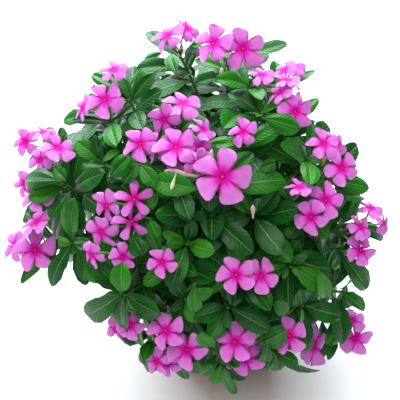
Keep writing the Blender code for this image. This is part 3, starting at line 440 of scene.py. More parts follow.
def tube_item(node, points, radius):
    """A square tube round a run of points."""
    corners = []
    for index, point in enumerate(points):
        ahead = heading_at(points, index)
        side = squared(TUBE_HINT, ahead)
        other = ahead.cross(side)
        corners += [point + (radius + CLEARANCE) * way for way in (side, other, -side, -other)]
    return sleeve_item(node, "tube", corners, 4)


def round_item(node, profile, sides, capped):
    """A shape turned from a section, which keeps stems and leaves out of the pot and the soil."""
    turns = [index * math.tau / sides for index in range(sides)]
    corners = [ring_point(radius, turn, height) for radius, height in profile for turn in turns]
    return sleeve_item(node, "wall", corners, sides, capped)


def leaf_point(leaf, share, across):
    """A place on a leaf: share runs from its foot to its tip, across is metres off the midrib."""
    start = LEAF_START * LEAF_BEND
    angle = start + share * LEAF_BEND
    ahead = leaf.length / LEAF_BEND * (math.sin(angle) - math.sin(start))
    lift = leaf.length / LEAF_BEND * (math.cos(angle) - math.cos(start))
    return leaf.foot + ahead * leaf.along + lift * leaf.face + across * leaf.along.cross(leaf.face)


def tip_of(leaf):
    return leaf_point(leaf, 1.0, 0.0)


def leaf_item(leaf, from_share=0.0):
    """A slightly swollen blade, or only its outer part, to test for crossings."""
    places = []
    for share, half in zip((from_share, *LEAF_STATIONS, 1.0), (LEAF_END, *LEAF_HALVES, LEAF_END)):
        reach = half * leaf.width + CLEARANCE
        places += [leaf_point(leaf, share, across) for across in (-reach, 0.0, reach)]
    count = len(places)
    corners = [place + (CLEARANCE + RIB_HEIGHT) * leaf.face for place in places]
    corners += [place - CLEARANCE * leaf.face for place in places]
    faces = []
    for start in (0, 1, count - 3, count - 2):
        faces.append((start, start + 1, start + 1 + count, start + count))
    for row in range(0, count - 3, 3):
        for corner in (row, row + 1):
            quad = (corner, corner + 1, corner + 4, corner + 3)
            faces += [quad, tuple(count + index for index in quad)]
        for edge in (row, row + 2):
            faces.append((edge, edge + 3, edge + 3 + count, edge + count))
    return make_item(leaf.stem, "leaf", corners, faces)


def limb_point(bloom, petal, turn, share):
    """A place on a bloom's flat limb: share of a petal's length, turned off its middle line."""
    angle, length, _, curl = bloom.petals[petal]
    way = swung(bloom.petal, bloom.normal.cross(bloom.petal), angle + turn)
    lift = curl * share * share - THROAT_DEPTH * (1.0 - share)
    return bloom.centre + bloom.radius * length * share * way + lift * bloom.normal


def limb_rim(bloom):
    """The corners of a bloom's outline: for each petal a notch, a shoulder, its tip, a shoulder."""
    rim = []
    for petal, (_, _, width, _) in enumerate(bloom.petals):
        for index, (turn, share) in enumerate(zip(LOBE_TURNS, LOBE_SHARES)):
            rim.append(limb_point(bloom, petal, math.radians(turn) * (width if index else 1.0), share))
    return rim


def limb_item(node, bloom):
    """A bloom's limb, slightly swollen, to test for crossings."""
    eye = bloom.centre - THROAT_DEPTH * bloom.normal
    places = [eye] + [corner + CLEARANCE * (corner - eye).normalized() for corner in limb_rim(bloom)]
    count = len(places)
    corners = [place + CLEARANCE * bloom.normal for place in places]
    corners += [place - (CLEARANCE + EYE_DEPTH / 2) * bloom.normal for place in places]
    faces = []
    for index in range(1, count):
        after = index % (count - 1) + 1
        faces += [(0, index, after), (count, count + index, count + after)]
        faces.append((index, after, count + after, count + index))
    return make_item(node, "limb", corners, faces)


def tube_ends(bloom):
    """The Bezier points of a flower tube, from the end of its straight foot to the bloom's eye."""
    start = bloom.foot + FOOT_RUN * bloom.heading
    eye = bloom.centre - (THROAT_DEPTH + EYE_DEPTH) * bloom.normal
    span = (eye - start).length
    rise, drop = TUBE_SWEEPS
    return start, start + rise * span * bloom.heading, eye - drop * span * bloom.normal, eye


def tube_points(bloom):
    ends = tube_ends(bloom)
    return [bloom.foot] + [bezier(ends, share) for share in (0.0, 1.0)]


def petal_shapes(draw, width):
    """Each petal's angle, length, width and curl, a little different from its neighbours'."""
    return [
        (index * math.tau / PETALS + math.radians(draw.uniform(*PETAL_TURNS)),
         draw.uniform(*PETAL_LENGTHS), width * draw.uniform(*PETAL_WIDTHS), draw.uniform(*PETAL_CURLS))
        for index in range(PETALS)
    ]


def read_bloom(reading, draw):
    """A bloom from its reading, without a foot so far."""
    across, down, span, right, up, petal_angle = reading
    depth = mound_depth(across, down)
    normal = facing(right, up)
    flat = swung(RIGHT, UP, math.radians(petal_angle))
    petal = (flat - flat.dot(normal) / TOWARD.dot(normal) * TOWARD).normalized()
    radius = span * PIXEL * (1.0 - depth / VIEW_DISTANCE) / 2
    radius = min(max(radius, BLOOM_RADII[0]), BLOOM_RADII[1])
    width = NARROW_WIDTH if (across, down) in NARROW_PETALLED else 1.0
    return Bloom(spot(across, down, depth), normal, petal, radius, petal_shapes(draw, width), None, None)


def shoot_heading(tip):
    """Shoots grow outward from the bush's heart, and turn up where they reach its top."""
    return (from_heart(tip) + max(0.0, tip.z - CROWN_HEIGHT) * CROWN_RISE * SKYWARD).normalized()


def join_cluster(blooms, length, lean):
    """Gives the blooms of one cluster their feet, side by side, a tube's length behind them."""
    middle = sum((bloom.centre for bloom in blooms), Vector()) / len(blooms)
    normal = sum((bloom.normal for bloom in blooms), Vector()).normalized()
    foot = middle - length * (from_heart(middle) + lean * normal + FOOT_SINK * SKYWARD).normalized()
    heading = shoot_heading(foot)
    joined = []
    for index, bloom in enumerate(blooms):
        spread = FOOT_SPREAD * squared(bloom.centre - foot, heading) if len(blooms) > 1 else Vector()
        joined.append(bloom._replace(foot=foot + spread + index * FOOT_STEP * heading, heading=heading))
    return foot, heading, joined


def place_cluster(node, blooms, items):
    """Slides blooms a little along their lines of sight, then moves their feet, until none cross."""
    choices = []
    for bloom in blooms:
        moves = [bloom._replace(centre=bloom.centre + MILLIMETRE * shift * TOWARD) for shift in BLOOM_SHIFTS]
        limbs = [limb_item(node, move) for move in moves]
        choices.append([(abs(shift), move, limb) for shift, move, limb in zip(BLOOM_SHIFTS, moves, limbs)
                        if is_clear(limb, items)])
    groups = sorted(itertools.product(*choices), key=lambda group: sum(shift ** 2 for shift, _, _ in group))
    for choice in groups:
        limbs = [limb for _, _, limb in choice]
        if all(is_clear(limb, limbs[:own]) for own, limb in enumerate(limbs)):
            break
    placed = [move for _, move, _ in choice]
    best = None
    for length, lean in FOOT_TRIES:
        foot, heading, joined = join_cluster(placed, length, lean)
        tubes = [tube_item(node, tube_points(bloom), TUBE_RADIUS) for bloom in joined]
        stub = tube_item(node, [foot - STUB_RUN * heading, foot - FIT_GAP * heading], SHOOT_RADIUS)
        crossing = sum(not is_clear(tube, items + limbs[:own] + limbs[own + 1:])
                       for own, tube in enumerate(tubes))
        crossing += 2 * (not is_clear(stub, items + limbs))
        if best is None or crossing < best[0]:
            best = (crossing, foot, heading, joined, tubes, stub)
        if not crossing:
            break
    _, foot, heading, joined, tubes, stub = best
    items += limbs + tubes + [stub._replace(kind="stub")]
    return foot, heading, joined


def back_directions():
    """Even directions over the side of the bush that the photograph doesn't show."""
    found = []
    for index in range(SPREAD_POINTS):
        height = 1.0 - (2 * index + 1) / SPREAD_POINTS
        way = ring_point(math.sqrt(1.0 - height * height), index * math.pi * (3.0 - math.sqrt(5.0)), height)
        if way.dot(TOWARD) < BACK_EDGE and way.z > BACK_LOWEST:
            found.append(way)
    return found


def back_cluster(tip, draw):
    """Two blooms side by side at a shoot tip on the side that the photograph doesn't show."""
    heading = from_heart(tip)
    side = turned(squared(SKYWARD, heading), heading, draw.uniform(*BACK_TURNS))
    blooms = []
    for lean in (-1.0, 1.0):
        normal = (heading + lean * draw.uniform(*BACK_LEANS) * side + BACK_LIFT * SKYWARD).normalized()
        centre = tip + (TUBE_LENGTH + draw.uniform(*BACK_REACHES)) * heading + lean * BACK_ASIDE * side
        petal = turned(squared(side, normal), normal, draw.uniform(0.0, 360.0 / PETALS))
        radius = BACK_BLOOM_RADIUS * draw.uniform(*BACK_SIZES)
        blooms.append(Bloom(centre, normal, petal, radius, petal_shapes(draw, 1.0), None, None))
    return blooms


def stem_groups(ways):
    """Sorts shoot directions into one group a stem, each round a common direction."""
    middles = [ways[0]]
    while len(middles) < STEM_COUNT:
        middles.append(max(ways, key=lambda way: min((way - middle).length for middle in middles)))
    for _ in range(GROUP_ROUNDS):
        nearest = [min(range(STEM_COUNT), key=lambda stem: (way - middles[stem]).length) for way in ways]
        middles = [
            sum((way for way, stem in zip(ways, nearest) if stem == own), Vector()).normalized()
            for own in range(STEM_COUNT)
        ]
    return nearest, middles


def stem_foot(place, middle):
    """Where a stem enters the soil: evenly round the pot, upright stems nearer to its middle."""
    inner, outer = STEM_RING
    radius = outer - (outer - inner) * min(1.0, max(0.0, middle.z))
    return ring_point(radius, math.tau * place / STEM_COUNT - math.pi, SOIL_TOP - STEM_DEPTH)


def shoot_route(foot, leader, rank, count, tip, heading, draw, loose):
    """The points of one shoot: the leader from its hole in the soil, or a side shoot off the leader."""
    end = tip - FIT_GAP * heading
    sway = Vector([draw.uniform(-STEM_SWAY, STEM_SWAY) * loose for _ in range(3)])
    if leader is None:
        start = foot + (STEM_DEPTH + FIT_GAP) * SKYWARD
        ends = (start, start + STEM_RISE * SKYWARD + sway,
                end - STEM_END * (end - foot).length * heading, end)
        return [foot] + [bezier(ends, share) for share in LEADER_SHARES[1:]]
    fork = FORK_SHARE - FORK_FALL * rank / count + loose * draw.uniform(-FORK_PLAY, FORK_PLAY)
    start = on_run(leader, LEADER_SHARES, fork)
    ahead = (on_run(leader, LEADER_SHARES, fork + FORK_STEP) - start).normalized()
    span = (end - start).length
    rise = (ahead + FORK_LEAN * (end - start).normalized()).normalized()
    ends = (start, start + FORK_RISE * span * rise + sway, end - STEM_END * span * heading, end)
    return [bezier(ends, share) for share in SIDE_SHARES]


def route_stem(node, foot, tips, draw, items):
    """One stem's main shoot from the soil to a tip, and its side shoots, clear of all else."""
    middle = sum((from_heart(tip) for tip, _, _ in tips), Vector()).normalized()
    order = sorted(tips, key=lambda entry: -from_heart(entry[0]).dot(middle))
    routes = []
    for rank, (tip, heading, truss) in enumerate(order):
        leader = routes[0] if routes else None
        others = [item for item in items if item.node not in (truss, "soil", node)]
        own = [item for item in items if item.node == truss]
        for attempt in range(STEM_TRIES):
            loose = min(1.0, attempt / STEM_FIRM)
            route = shoot_route(foot, leader, rank, len(order), tip, heading, draw, loose)
            tube = tube_item(node, route, SHOOT_RADIUS)
            short = route[:-1] + [back_along(route, JOINT_RUN)[0]]
            if is_clear(tube, others) and is_clear(tube_item(node, short, SHOOT_RADIUS - CLEARANCE), own):
                break
        routes.append(route)
        items.append(tube)
    return [Shoot(route, heading, node, draw.uniform(0.0, 90.0), SHOOT_RADIUS if rank else STEM_RADIUS,
                  nearness(route[-1]) < BACK_EDGE * BACK_RADIUS)
            for rank, (route, (_, heading, _)) in enumerate(zip(routes, order))]


def add_leaf(tries, items, leaves):
    """Keeps the first of several ways to set a leaf that crosses nothing and clears the floor."""
    for leaf in tries:
        if tip_of(leaf).z < LOWEST_LEAF:
            continue
        whole = leaf_item(leaf)
        if not is_clear(whole, [item for item in items if item.node != leaf.stem]):
            continue
        if is_clear(leaf_item(leaf, OWN_STEM_SHARE), [item for item in items if item.node == leaf.stem]):
            items.append(whole)
            leaves.append(leaf)
            return


def is_front(place):
    """Whether leaves that grow from a place show in the photograph, where they face the light."""
    return nearness(place) > SEAT_DEPTH


def leaf_foot(shoot, distance, place, flat):
    """Where a leaf's stalk leaves its shoot."""
    return place + shoot_radius(shoot, distance) * STALK_SINK * flat


def seated(shoots, index, tier, seat, way, face, length, width):
    """A leaf on one of the four flats of a shoot's section, or None where it points too far off."""
    shoot = shoots[index]
    place, heading, side = seat_frame(shoot, NODE_STEPS[tier])
    flat = turned(side, heading, 90.0 * seat)
    if flat.dot(way) < LEAST_SPREAD or (is_front(place) and face.dot(TOWARD) < LEAST_FACING):
        return None
    foot = leaf_foot(shoot, NODE_STEPS[tier], place, flat)
    return Leaf(foot, way, squared(face, way), length, width, shoot.stem, index, tier, seat)


def clear_leaf_tries(reading, shoots, used):
    """Ways to set a leaf that the photograph shows, with its tip at the pixel where it shows."""
    _, _, across, down, width = reading
    for index, tier in near_seats(shoots, reading):
        shoot = shoots[index]
        place, heading, side = seat_frame(shoot, NODE_STEPS[tier])
        for shift in LEAF_SHIFTS:
            reach = mound_spot(across, down, MILLIMETRE * shift) - place
            chord = reach.normalized()
            seat = max(range(SEATS), key=lambda turn: turned(side, heading, 90.0 * turn).dot(chord))
            if not LEAF_LENGTHS[0] < reach.length < LEAF_LENGTHS[1] or (index, tier, seat) in used:
                continue
            light = shoot.heading + OUTWARD_SHARE * from_heart(place) + VIEWER_SHARE * TOWARD
            for roll, scale in itertools.product(LEAF_ROLLS, LEAF_SCALES):
                face = turned(squared(light, chord), chord, roll)
                leaf = seated(shoots, index, tier, seat, (chord + LEAF_LIFT * face).normalized(), face,
                              reach.length * scale, width * PIXEL * WIDTH_SHARE * scale)
                if leaf:
                    yield leaf


def leaf_ways(habit, shoot, tier, seat, draw):
    """Ways to turn a leaf on its node: straight out, then more and more loosely."""
    place, heading, side = seat_frame(shoot, habit.steps[tier])
    flat = turned(side, heading, 90.0 * seat + (45.0 if tier >= len(NODE_STEPS) else 0.0))
    foot = leaf_foot(shoot, habit.steps[tier], place, flat)
    front = is_front(place)
    lean = FACE_VIEWER * TOWARD if front else habit.outward * squared(place - BUSH_HEART, SKYWARD)
    for attempt in range(habit.tries):
        loose = min(1.0, attempt / habit.firm)
        swing = turned(flat, heading, draw.uniform(-habit.swing, habit.swing) * loose)
        bend = draw.uniform(*habit.bends) * (habit.bend_ease[0] + habit.bend_ease[1] * loose)
        way = swung(heading, swing, math.radians(habit.angles[tier] + bend))
        way = (way - habit.droop * SKYWARD).normalized()
        face = squared(habit.ahead * heading + habit.skyward * SKYWARD - LEAF_TURN * flat + lean, way)
        roll = draw.uniform(-habit.roll, habit.roll) * (habit.roll_ease[0] + habit.roll_ease[1] * loose)
        yield foot, way, turned(face, way, roll), loose, front


def rule_leaf_tries(shoots, index, tier, seat, draw):
    """Ways to set one leaf of an opposite pair: each pair stands square to the one above it."""
    for _, way, face, loose, _ in leaf_ways(PAIRS, shoots[index], tier, seat, draw):
        length = PAIRS.lengths[tier] * draw.uniform(*PAIRS.sizes) * (1.0 - PAIRS.shrink * loose)
        leaf = seated(shoots, index, tier, seat, way, face, length, length * draw.uniform(*PAIRS.widths))
        if leaf:
            yield leaf


def near_seats(shoots, reading):
    """The leaf nodes that show nearest to where the photograph shows a leaf's foot, nearest first."""
    found = []
    for (index, shoot), (tier, step) in itertools.product(enumerate(shoots), enumerate(NODE_STEPS)):
        place, _ = back_along(shoot.points, step)
        miss = (pixel_of(place)[0] - Vector(reading[:2])).length
        if is_front(place) and miss < SEAT_MISS:
            found.append((miss, index, tier))
    return [entry[1:] for entry in sorted(found)]


def seats_of(leaves):
    return {(leaf.shoot, leaf.tier, leaf.seat) for leaf in leaves}


def grow_leaves(shoots, draw, items):
    """Large leaves where the photograph shows them, then opposite pairs down every shoot."""
    leaves = []
    for reading in CLEAR_LEAVES:
        add_leaf(clear_leaf_tries(reading, shoots, seats_of(leaves)), items, leaves)
    order = list(itertools.product((0, 1), range(len(NODE_STEPS)), range(len(shoots))))
    order.sort(key=lambda entry: entry[1] + 3 * entry[0] - (HIDDEN_TIERS if shoots[entry[2]].hidden else 0))
    used = seats_of(leaves)
    for crossed, tier, index in order:
        for seat in ((tier + crossed) % 2, (tier + crossed) % 2 + 2):
            if len(leaves) < LEAF_LIMIT and (index, tier, seat) not in used:
                add_leaf(rule_leaf_tries(shoots, index, tier, seat, draw), items, leaves)
    return leaves


def grow():
    """The whole bush as plain values: its shoots stem by stem, its clusters and its leaves."""
    draw = random.Random(SEED)
    inner = POT_RIM_RADIUS - POT_WALL
    outer, high = POT_RIM_RADIUS + WALL_GUARD, POT_HEIGHT + WALL_GUARD
    wall = ((outer, 0.0), (outer, high), (inner - WALL_GUARD, high), (inner - WALL_GUARD, SOIL_TOP))
    items = [
        round_item("pot", wall, 24, False),
        round_item("soil", ((inner, 0.0), (inner, SOIL_TOP + WALL_GUARD)), 16, True),
    ]
    clusters = []
    tips = []

    def set_cluster(blooms):
        node = f"flower_truss_{len(clusters) + 1:02d}"
        foot, heading, placed = place_cluster(node, blooms, items)
        clusters.append((node, placed))
        tips.append((foot, heading, node))

    for readings in CLUSTERS:
        set_cluster([read_bloom(reading, draw) for reading in readings])
    for across, down in LEAFY_TIPS:
        tip = mound_spot(across, down, -LEAFY_TIP_DEPTH)
        tips.append((tip, shoot_heading(tip), None))
    for way in back_directions():
        tip = BUSH_CENTRE + BACK_RADIUS * way
        if way.dot(TOWARD) < BACK_BLOOM_EDGE and len(clusters) < len(CLUSTERS) + BACK_CLUSTERS:
            set_cluster(back_cluster(tip, draw))
        else:
            tips.append((tip, shoot_heading(tip), None))
    items[:] = [item for item in items if item.kind != "stub"]
    nearest, middles = stem_groups([from_heart(tip) for tip, _, _ in tips])
    around = sorted(range(STEM_COUNT), key=lambda stem: math.atan2(middles[stem].y, middles[stem].x))
    shoots = []
    for place, group in enumerate(around):
        node = f"leafy_stem_{place + 1:02d}"
        own = [entry for entry, stem in zip(tips, nearest) if stem == group]
        shoots += route_stem(node, stem_foot(place, middles[group]), own, draw, items)
    leaves = grow_leaves(shoots, draw, items)
    return clusters, shoots, leaves, items


def outer_radius(height):
    """The radius of the pot's tapered side, below its rim band."""
    share = height / POT_HEIGHT
    return POT_BASE_RADIUS + (POT_RIM_RADIUS - RIM_BAND_STEP - POT_BASE_RADIUS) * share


# The finer bush: leaves that fill it, in tiers further down each shoot
FILL_STEPS = (*NODE_STEPS, 0.055, 0.070, 0.088, 0.108, 0.128, 0.145, 0.160, 0.175, 0.190)
FILLING = Habit(
    steps=FILL_STEPS, lengths=(0.034, 0.044, 0.048, 0.048, 0.046, 0.045, *[0.044] * 7),
    angles=(50.0, 66.0, 76.0, 82.0, 85.0, 88.0, 88.0, *[90.0] * 6),
    tries=9, firm=5, swing=42.0, bends=(-28.0, 18.0), bend_ease=(0.3, 0.7), droop=0.10,
    ahead=0.6, skyward=0.5, outward=0.8, roll=28.0, roll_ease=(0.4, 0.6),
    sizes=(0.85, 1.15), shrink=0.35, widths=(0.42, 0.52))
FILL_LIMIT = 1100
FILL_FROM = 0.3
LOWEST_RUN = 0.004
OUTLINE_SLACK = 2.0
FACE_SHARE = 0.75
ROOM_CELL = 0.03
LARGE_REACH = 0.08

# The bush's outline in the photograph, in pixels, read clockwise from the top left
OUTLINE = [
    (145, 33), (176, 18), (204, 28), (219, 24), (245, 28), (258, 31), (281, 40), (287, 46),
    (304, 59), (312, 69), (310, 89), (319, 102), (325, 116), (323, 130), (341, 139), (357, 144),
    (355, 163), (369, 184), (362, 199), (383, 207), (390, 230), (389, 241), (376, 245), (377, 258),
    (367, 270), (367, 290), (352, 288), (332, 270), (330, 276), (337, 297), (353, 304), (362, 312),
    (376, 316), (384, 337), (370, 344), (369, 360), (353, 360), (337, 355), (328, 374), (319, 370),
    (296, 367), (276, 367), (263, 378), (219, 381), (220, 362), (204, 367), (191, 372), (166, 375),
    (144, 370), (143, 357), (153, 344), (142, 346), (122, 343), (105, 329), (107, 319), (93, 316),
    (94, 306), (110, 293), (84, 283), (80, 260), (70, 263), (51, 284), (20, 283), (23, 270),
    (10, 260), (10, 230), (33, 217), (20, 209), (13, 189), (23, 176), (26, 163), (10, 145),
    (20, 129), (54, 129), (73, 119), (67, 105), (84, 98), (102, 88), (92, 77), (102, 62),
    (125, 62), (130, 87), (143, 65), (166, 62), (173, 54), (157, 48), (147, 41),
]

# More leaves that show, as in CLEAR_LEAVES
MORE_LEAVES = [
    (338, 328, 326, 345, 15), (216, 347, 199, 333, 17), (288, 314, 274, 302, 14), (146, 318, 153, 332, 14),
    (195, 283, 194, 312, 14), (190, 313, 184, 331, 12), (150, 219, 157, 238, 13), (40, 222, 26, 211, 12),
    (177, 76, 168, 55, 14), (109, 179, 131, 157, 18), (122, 186, 140, 164, 13), (54, 167, 67, 180, 14),
    (258, 170, 276, 163, 12), (262, 334, 264, 356, 15), (216, 364, 200, 370, 11), (199, 374, 214, 364, 11),
    (268, 343, 264, 362, 13), (140, 164, 156, 186, 15), (306, 300, 320, 292, 13), (318, 268, 326, 298, 15),
]
TWIG_MISS = 4.0
TWIG_SHIFTS = (0.0, 0.006, -0.007, 0.011, -0.014, 0.016, -0.021, -0.028, 0.021, -0.036)
TWIG_ROLLS = (0, 22, -22, 44, -44)
TWIG_REACH = 0.070
TWIG_BENDS = ((0.12, 0.0), (0.30, 0.0), (-0.05, 0.0), (0.10, 0.26), (0.10, -0.26), (0.30, 0.30),
              (0.30, -0.30))
TWIG_SHOWS = 0.034
TWIG_RADIUS = 0.0010
TWIG_JOINTS = 14
TWIG_STEP = 0.005
TWIG_LOWEST = 0.02
TWIG_FROM = 0.28

# The young leaves at a shoot's tip: fewer where it blooms
ROSETTE_COUNTS = (4, 7)
ROSETTE_SPREADS = (16.0, 30.0)
ROSETTE_OPENING = 7.0
ROSETTE_TURNS = (-14.0, 14.0)
ROSETTE_TILT = 0.3
ROSETTE_LENGTHS = (0.009, 0.014)
ROSETTE_GROWTH = 0.0018
ROSETTE_WIDTHS = (0.38, 0.46)
ROSETTE_STEP = 0.0006
ROSETTE_SPREAD = 0.0008
ROSETTE_FROM = 0.4
TIP_MISS = 0.002

# Buds and spent flowers that show, in pixels: the foot, the tip, the width and the tone, which
# runs from green through cream to pink
BUDS = [
    (196, 176, 164, 171, 7.5, 0.80), (176, 174, 171, 190, 3.5, 0.30), (209, 166, 212, 149, 4.0, 0.45),
    (279, 168, 281, 155, 4.0, 0.45), (273, 165, 275, 154, 3.5, 0.30), (253, 218, 253, 205, 4.5, 0.75),
    (252, 338, 261, 333, 4.0, 0.30), (221, 84, 222, 67, 4.5, 0.55), (322, 166, 325, 155, 3.5, 0.35),
]

# Blade patterns, row by row: the share along the blade, and the half width as a share of a leaf's
# or sepal's width, or of the bloom's radius for a petal
ROWS = {
    "fine": ((0.0, 0.040), (0.09, 0.065), (0.24, 0.27), (0.45, 0.455), (0.68, 0.49), (0.86, 0.37),
             (0.96, 0.19), (1.0, 0.015)),
    "plain": ((0.0, 0.045), (0.12, 0.09), (0.34, 0.39), (0.62, 0.49), (0.86, 0.35), (0.96, 0.16),
              (1.0, 0.012)),
    "sepal": ((0.0, 0.30), (0.5, 0.42), (1.0, 0.04)),
    "petal": ((0.03, 0.050), (0.15, 0.130), (0.32, 0.235), (0.50, 0.325), (0.68, 0.385), (0.84, 0.392),
              (0.95, 0.310), (1.00, 0.10)),
}

# Buds: the share along one with its width as a share of its widest, and where the small ones stand
BUD_SHAPE = ((0.0, 0.36), (0.22, 0.42), (0.45, 0.72), (0.64, 1.0), (0.80, 0.92), (0.92, 0.56),
             (1.0, 0.10))
BUD_STALK = 0.0007
BUD_FORWARD = 0.020
BUD_LEAN = 0.006
BUD_HINT = Vector((0.4, 0.2, 1.0))
BUD_RUNS = (0.006, 0.016)
BUD_RADIUS = 0.0008
BUD_WIDTH = 0.0024
BUD_TONES = (0.1, 0.3)

# Stems, blades and petals, with the spans that each leaf's and petal's own shape is drawn from
STEM_SIDES = 8
CORNER_RUN = 0.009
KNOT_RUN = 0.003
KNOT_SWELL = 1.12
STEM_WAIST = 0.92
BARK_RUN = 0.16
SHARP_ANGLE = math.radians(42.0)
LEAF_THICKNESS = 0.0006
LEAF_PLAY = ((0.12, 0.60), (0.05, 0.40), (0.08, 0.20))
LEAF_SICKLES = (-0.05, 0.05)
FINE_WAVES = (0.0002, 0.0012)
PLAIN_WAVE = 0.0004
VEIN_COUNT = 10.0
VEIN_SLANT = 2.4
PETAL_THICKNESS = 0.00035
PETAL_DOME = 0.0007
PETAL_PLAY = ((0.0010, 0.0024), (0.05, 0.50), (-0.0008, 0.0024), (-0.0012, 0.0038), (0.0001, 0.0008),
              (0.0, math.tau), (-0.60, 0.50))
MOUTH_SHARE = 0.062
MOUTH_DEPTH = 0.5
TUBE_SHARES = (0.0, 0.25, 0.5, 0.75, 0.9, 1.0)
TUBE_RADII = (0.0009, 0.0011, 0.0010, 0.0009, 0.0011, 0.0012, 0.0009)
TUBE_TONES = (0.02, 0.04, 0.08, 0.10, 0.12, 0.16, 0.35)

# The fine pot and soil
POT_SHARP_ANGLE = 0.3
POT_BEVEL = 0.0014
SOIL_RINGS = 22
SOIL_STEPS = 72
CRUMB_SIZES = (0.0009, 0.0030)
PERLITE_EVERY = 7

# The light: a soft sun over the front and a broad cool lamp behind the bush
SUN_PLACE = (-0.25, -0.35, 1.6)
SUN_COLOUR = (1.0, 0.985, 0.95)
SIDE_PLACE = (-0.3, 1.1, 1.15)
SIDE_COLOUR = (0.82, 0.92, 1.0)
SIDE_SIZE = 1.6

Tint = namedtuple("Tint", "tone fold droop bulge wave phase sickle")
Petal = namedtuple("Petal", "tilt skew cup bend wave phase taper")
Bud = namedtuple("Bud", "node points width tone")
Bush = namedtuple("Bush", "clusters shoots leaves twigs fill young buds")

SEPAL_SIZE = (0.0055, 0.0016)
SEPAL_THICKNESS = 0.0003
SEPAL_LEAN = 0.35
SEPAL_RING = 0.0007
SEPAL_TINT = Tint(0.3, *[0.0] * 6)


def inside_outline(place):
    """Whether a place shows within the bush's outline, or hardly outside it."""
    pixel, _ = pixel_of(place)
    inside = False
    for (start_x, start_y), (end_x, end_y) in zip(OUTLINE, OUTLINE[1:] + OUTLINE[:1]):
        start, end = Vector((start_x, start_y)), Vector((end_x, end_y))
        run = end - start
        share = min(1.0, max(0.0, (pixel - start).dot(run) / run.length_squared))
        if (start + share * run - pixel).length < OUTLINE_SLACK:
            return True
        if (start_y > pixel.y) != (end_y > pixel.y):
            if pixel.x < start_x + (pixel.y - start_y) / (end_y - start_y) * (end_x - start_x):
                inside = not inside
    return inside


class Room:
    """Crossing tests against everything that has grown, sorted into cells to keep them quick."""

    def __init__(self, items, blooms):
        self.faces = [(*pixel_of(bloom.centre), FACE_SHARE * bloom.radius / PIXEL) for bloom in blooms]
        self.cells = {}
        self.large = []
        for item in items:
            self.add(item)

    def keys(self, item):
        spans = [(math.floor((value - item.reach) / ROOM_CELL), math.floor((value + item.reach) / ROOM_CELL))
                 for value in item.middle]
        return itertools.product(*(range(low, high + 1) for low, high in spans))

    def add(self, item):
        if item.reach > LARGE_REACH:
            self.large.append(item)
            return
        for key in self.keys(item):
            self.cells.setdefault(key, []).append(item)

    def hides(self, place):
        """Whether a place stands in front of a bloom's face, as the photograph's view shows it."""
        pixel, depth = pixel_of(place)
        return depth > 0.0 and any(depth > bloom_depth and (pixel - middle).length < reach
                                   for middle, bloom_depth, reach in self.faces)

    def near(self, item):
        found = {id(other): other for key in self.keys(item) for other in self.cells.get(key, ())}
        return list(found.values()) + self.large

    def takes(self, item, kinds=None):
        """Adds an item where it crosses nothing, or nothing of these kinds, and says whether it did."""
        clear = is_clear(item, [other for other in self.near(item) if not kinds or other.kind in kinds])
        if clear:
            self.add(item)
        return clear


def fill_leaf_tries(shoot, index, tier, seat, draw):
    """Ways to set one of the leaves that fill the bush, further down a shoot."""
    for foot, way, face, loose, front in leaf_ways(FILLING, shoot, tier, seat, draw):
        if not front or face.dot(TOWARD) >= LEAST_FACING:
            length = FILLING.lengths[tier] * draw.uniform(*FILLING.sizes) * (1.0 - FILLING.shrink * loose)
            width = length * draw.uniform(*FILLING.widths)
            yield Leaf(foot, way, face, length, width, shoot.stem, index, tier, seat)


def fill_bush(shoots, leaves, room):
    """More leaves, tier by tier down every shoot, wherever there is room within the outline."""
    draw = random.Random(SEED + 1)
    used = seats_of(leaves)
    ends = [run_length(shoot.points) - LOWEST_RUN for shoot in shoots]
    added = []
    tiers, seats = range(len(FILL_STEPS)), range(SEATS)
    for tier, index, seat in itertools.product(tiers, range(len(shoots)), seats):
        if (index, tier, seat) in used or len(added) >= FILL_LIMIT or FILL_STEPS[tier] > ends[index]:
            continue
        for leaf in fill_leaf_tries(shoots[index], index, tier, seat, draw):
            places = (tip_of(leaf), leaf_point(leaf, 0.6, 0.0))
            if places[0].z < LOWEST_LEAF or not all(inside_outline(place) for place in places):
                continue
            if not any(room.hides(place) for place in places) and room.takes(leaf_item(leaf, FILL_FROM)):
                added.append(leaf)
                break
    return added


def seen_length(run):
    """How long a run shows in the photograph's view."""
    return (run - run.dot(TOWARD) * TOWARD).length


def twig_tries(reading, shoots, joints):
    """Ways to set a leaf that the photograph shows on a twig from one of the nearest shoots."""
    foot_x, foot_y, tip_x, tip_y, width = reading
    for shift in TWIG_SHIFTS:
        foot = mound_spot(foot_x, foot_y, shift)
        chord = mound_spot(tip_x, tip_y, shift) - foot
        length = min(chord.length, LEAF_LENGTHS[1])
        along = chord.normalized()
        outward = from_heart(foot)
        near = [joint for joint in joints if (foot - joint[0]).dot(TOWARD) > 0.0
                and seen_length(foot - joint[0]) < TWIG_SHOWS]
        near.sort(key=lambda joint: (joint[0] - foot).length + seen_length(foot - joint[0]))
        for roll in TWIG_ROLLS:
            face = turned(squared(TOWARD + OUTWARD_SHARE * outward, along), along, roll)
            way = (along + LEAF_LIFT * face).normalized()
            face = squared(face, way)
            for (place, index), (dip, sway) in itertools.product(near[:TWIG_JOINTS], TWIG_BENDS):
                reach = (foot - place).length
                bend = sway * outward.cross((foot - place).normalized()) - dip * outward
                run = (place, place.lerp(foot, 0.5) + reach * bend, foot)
                if reach < TWIG_REACH:
                    yield Leaf(foot, way, face, length, width * PIXEL, shoots[index].stem, index, 0, 0), run


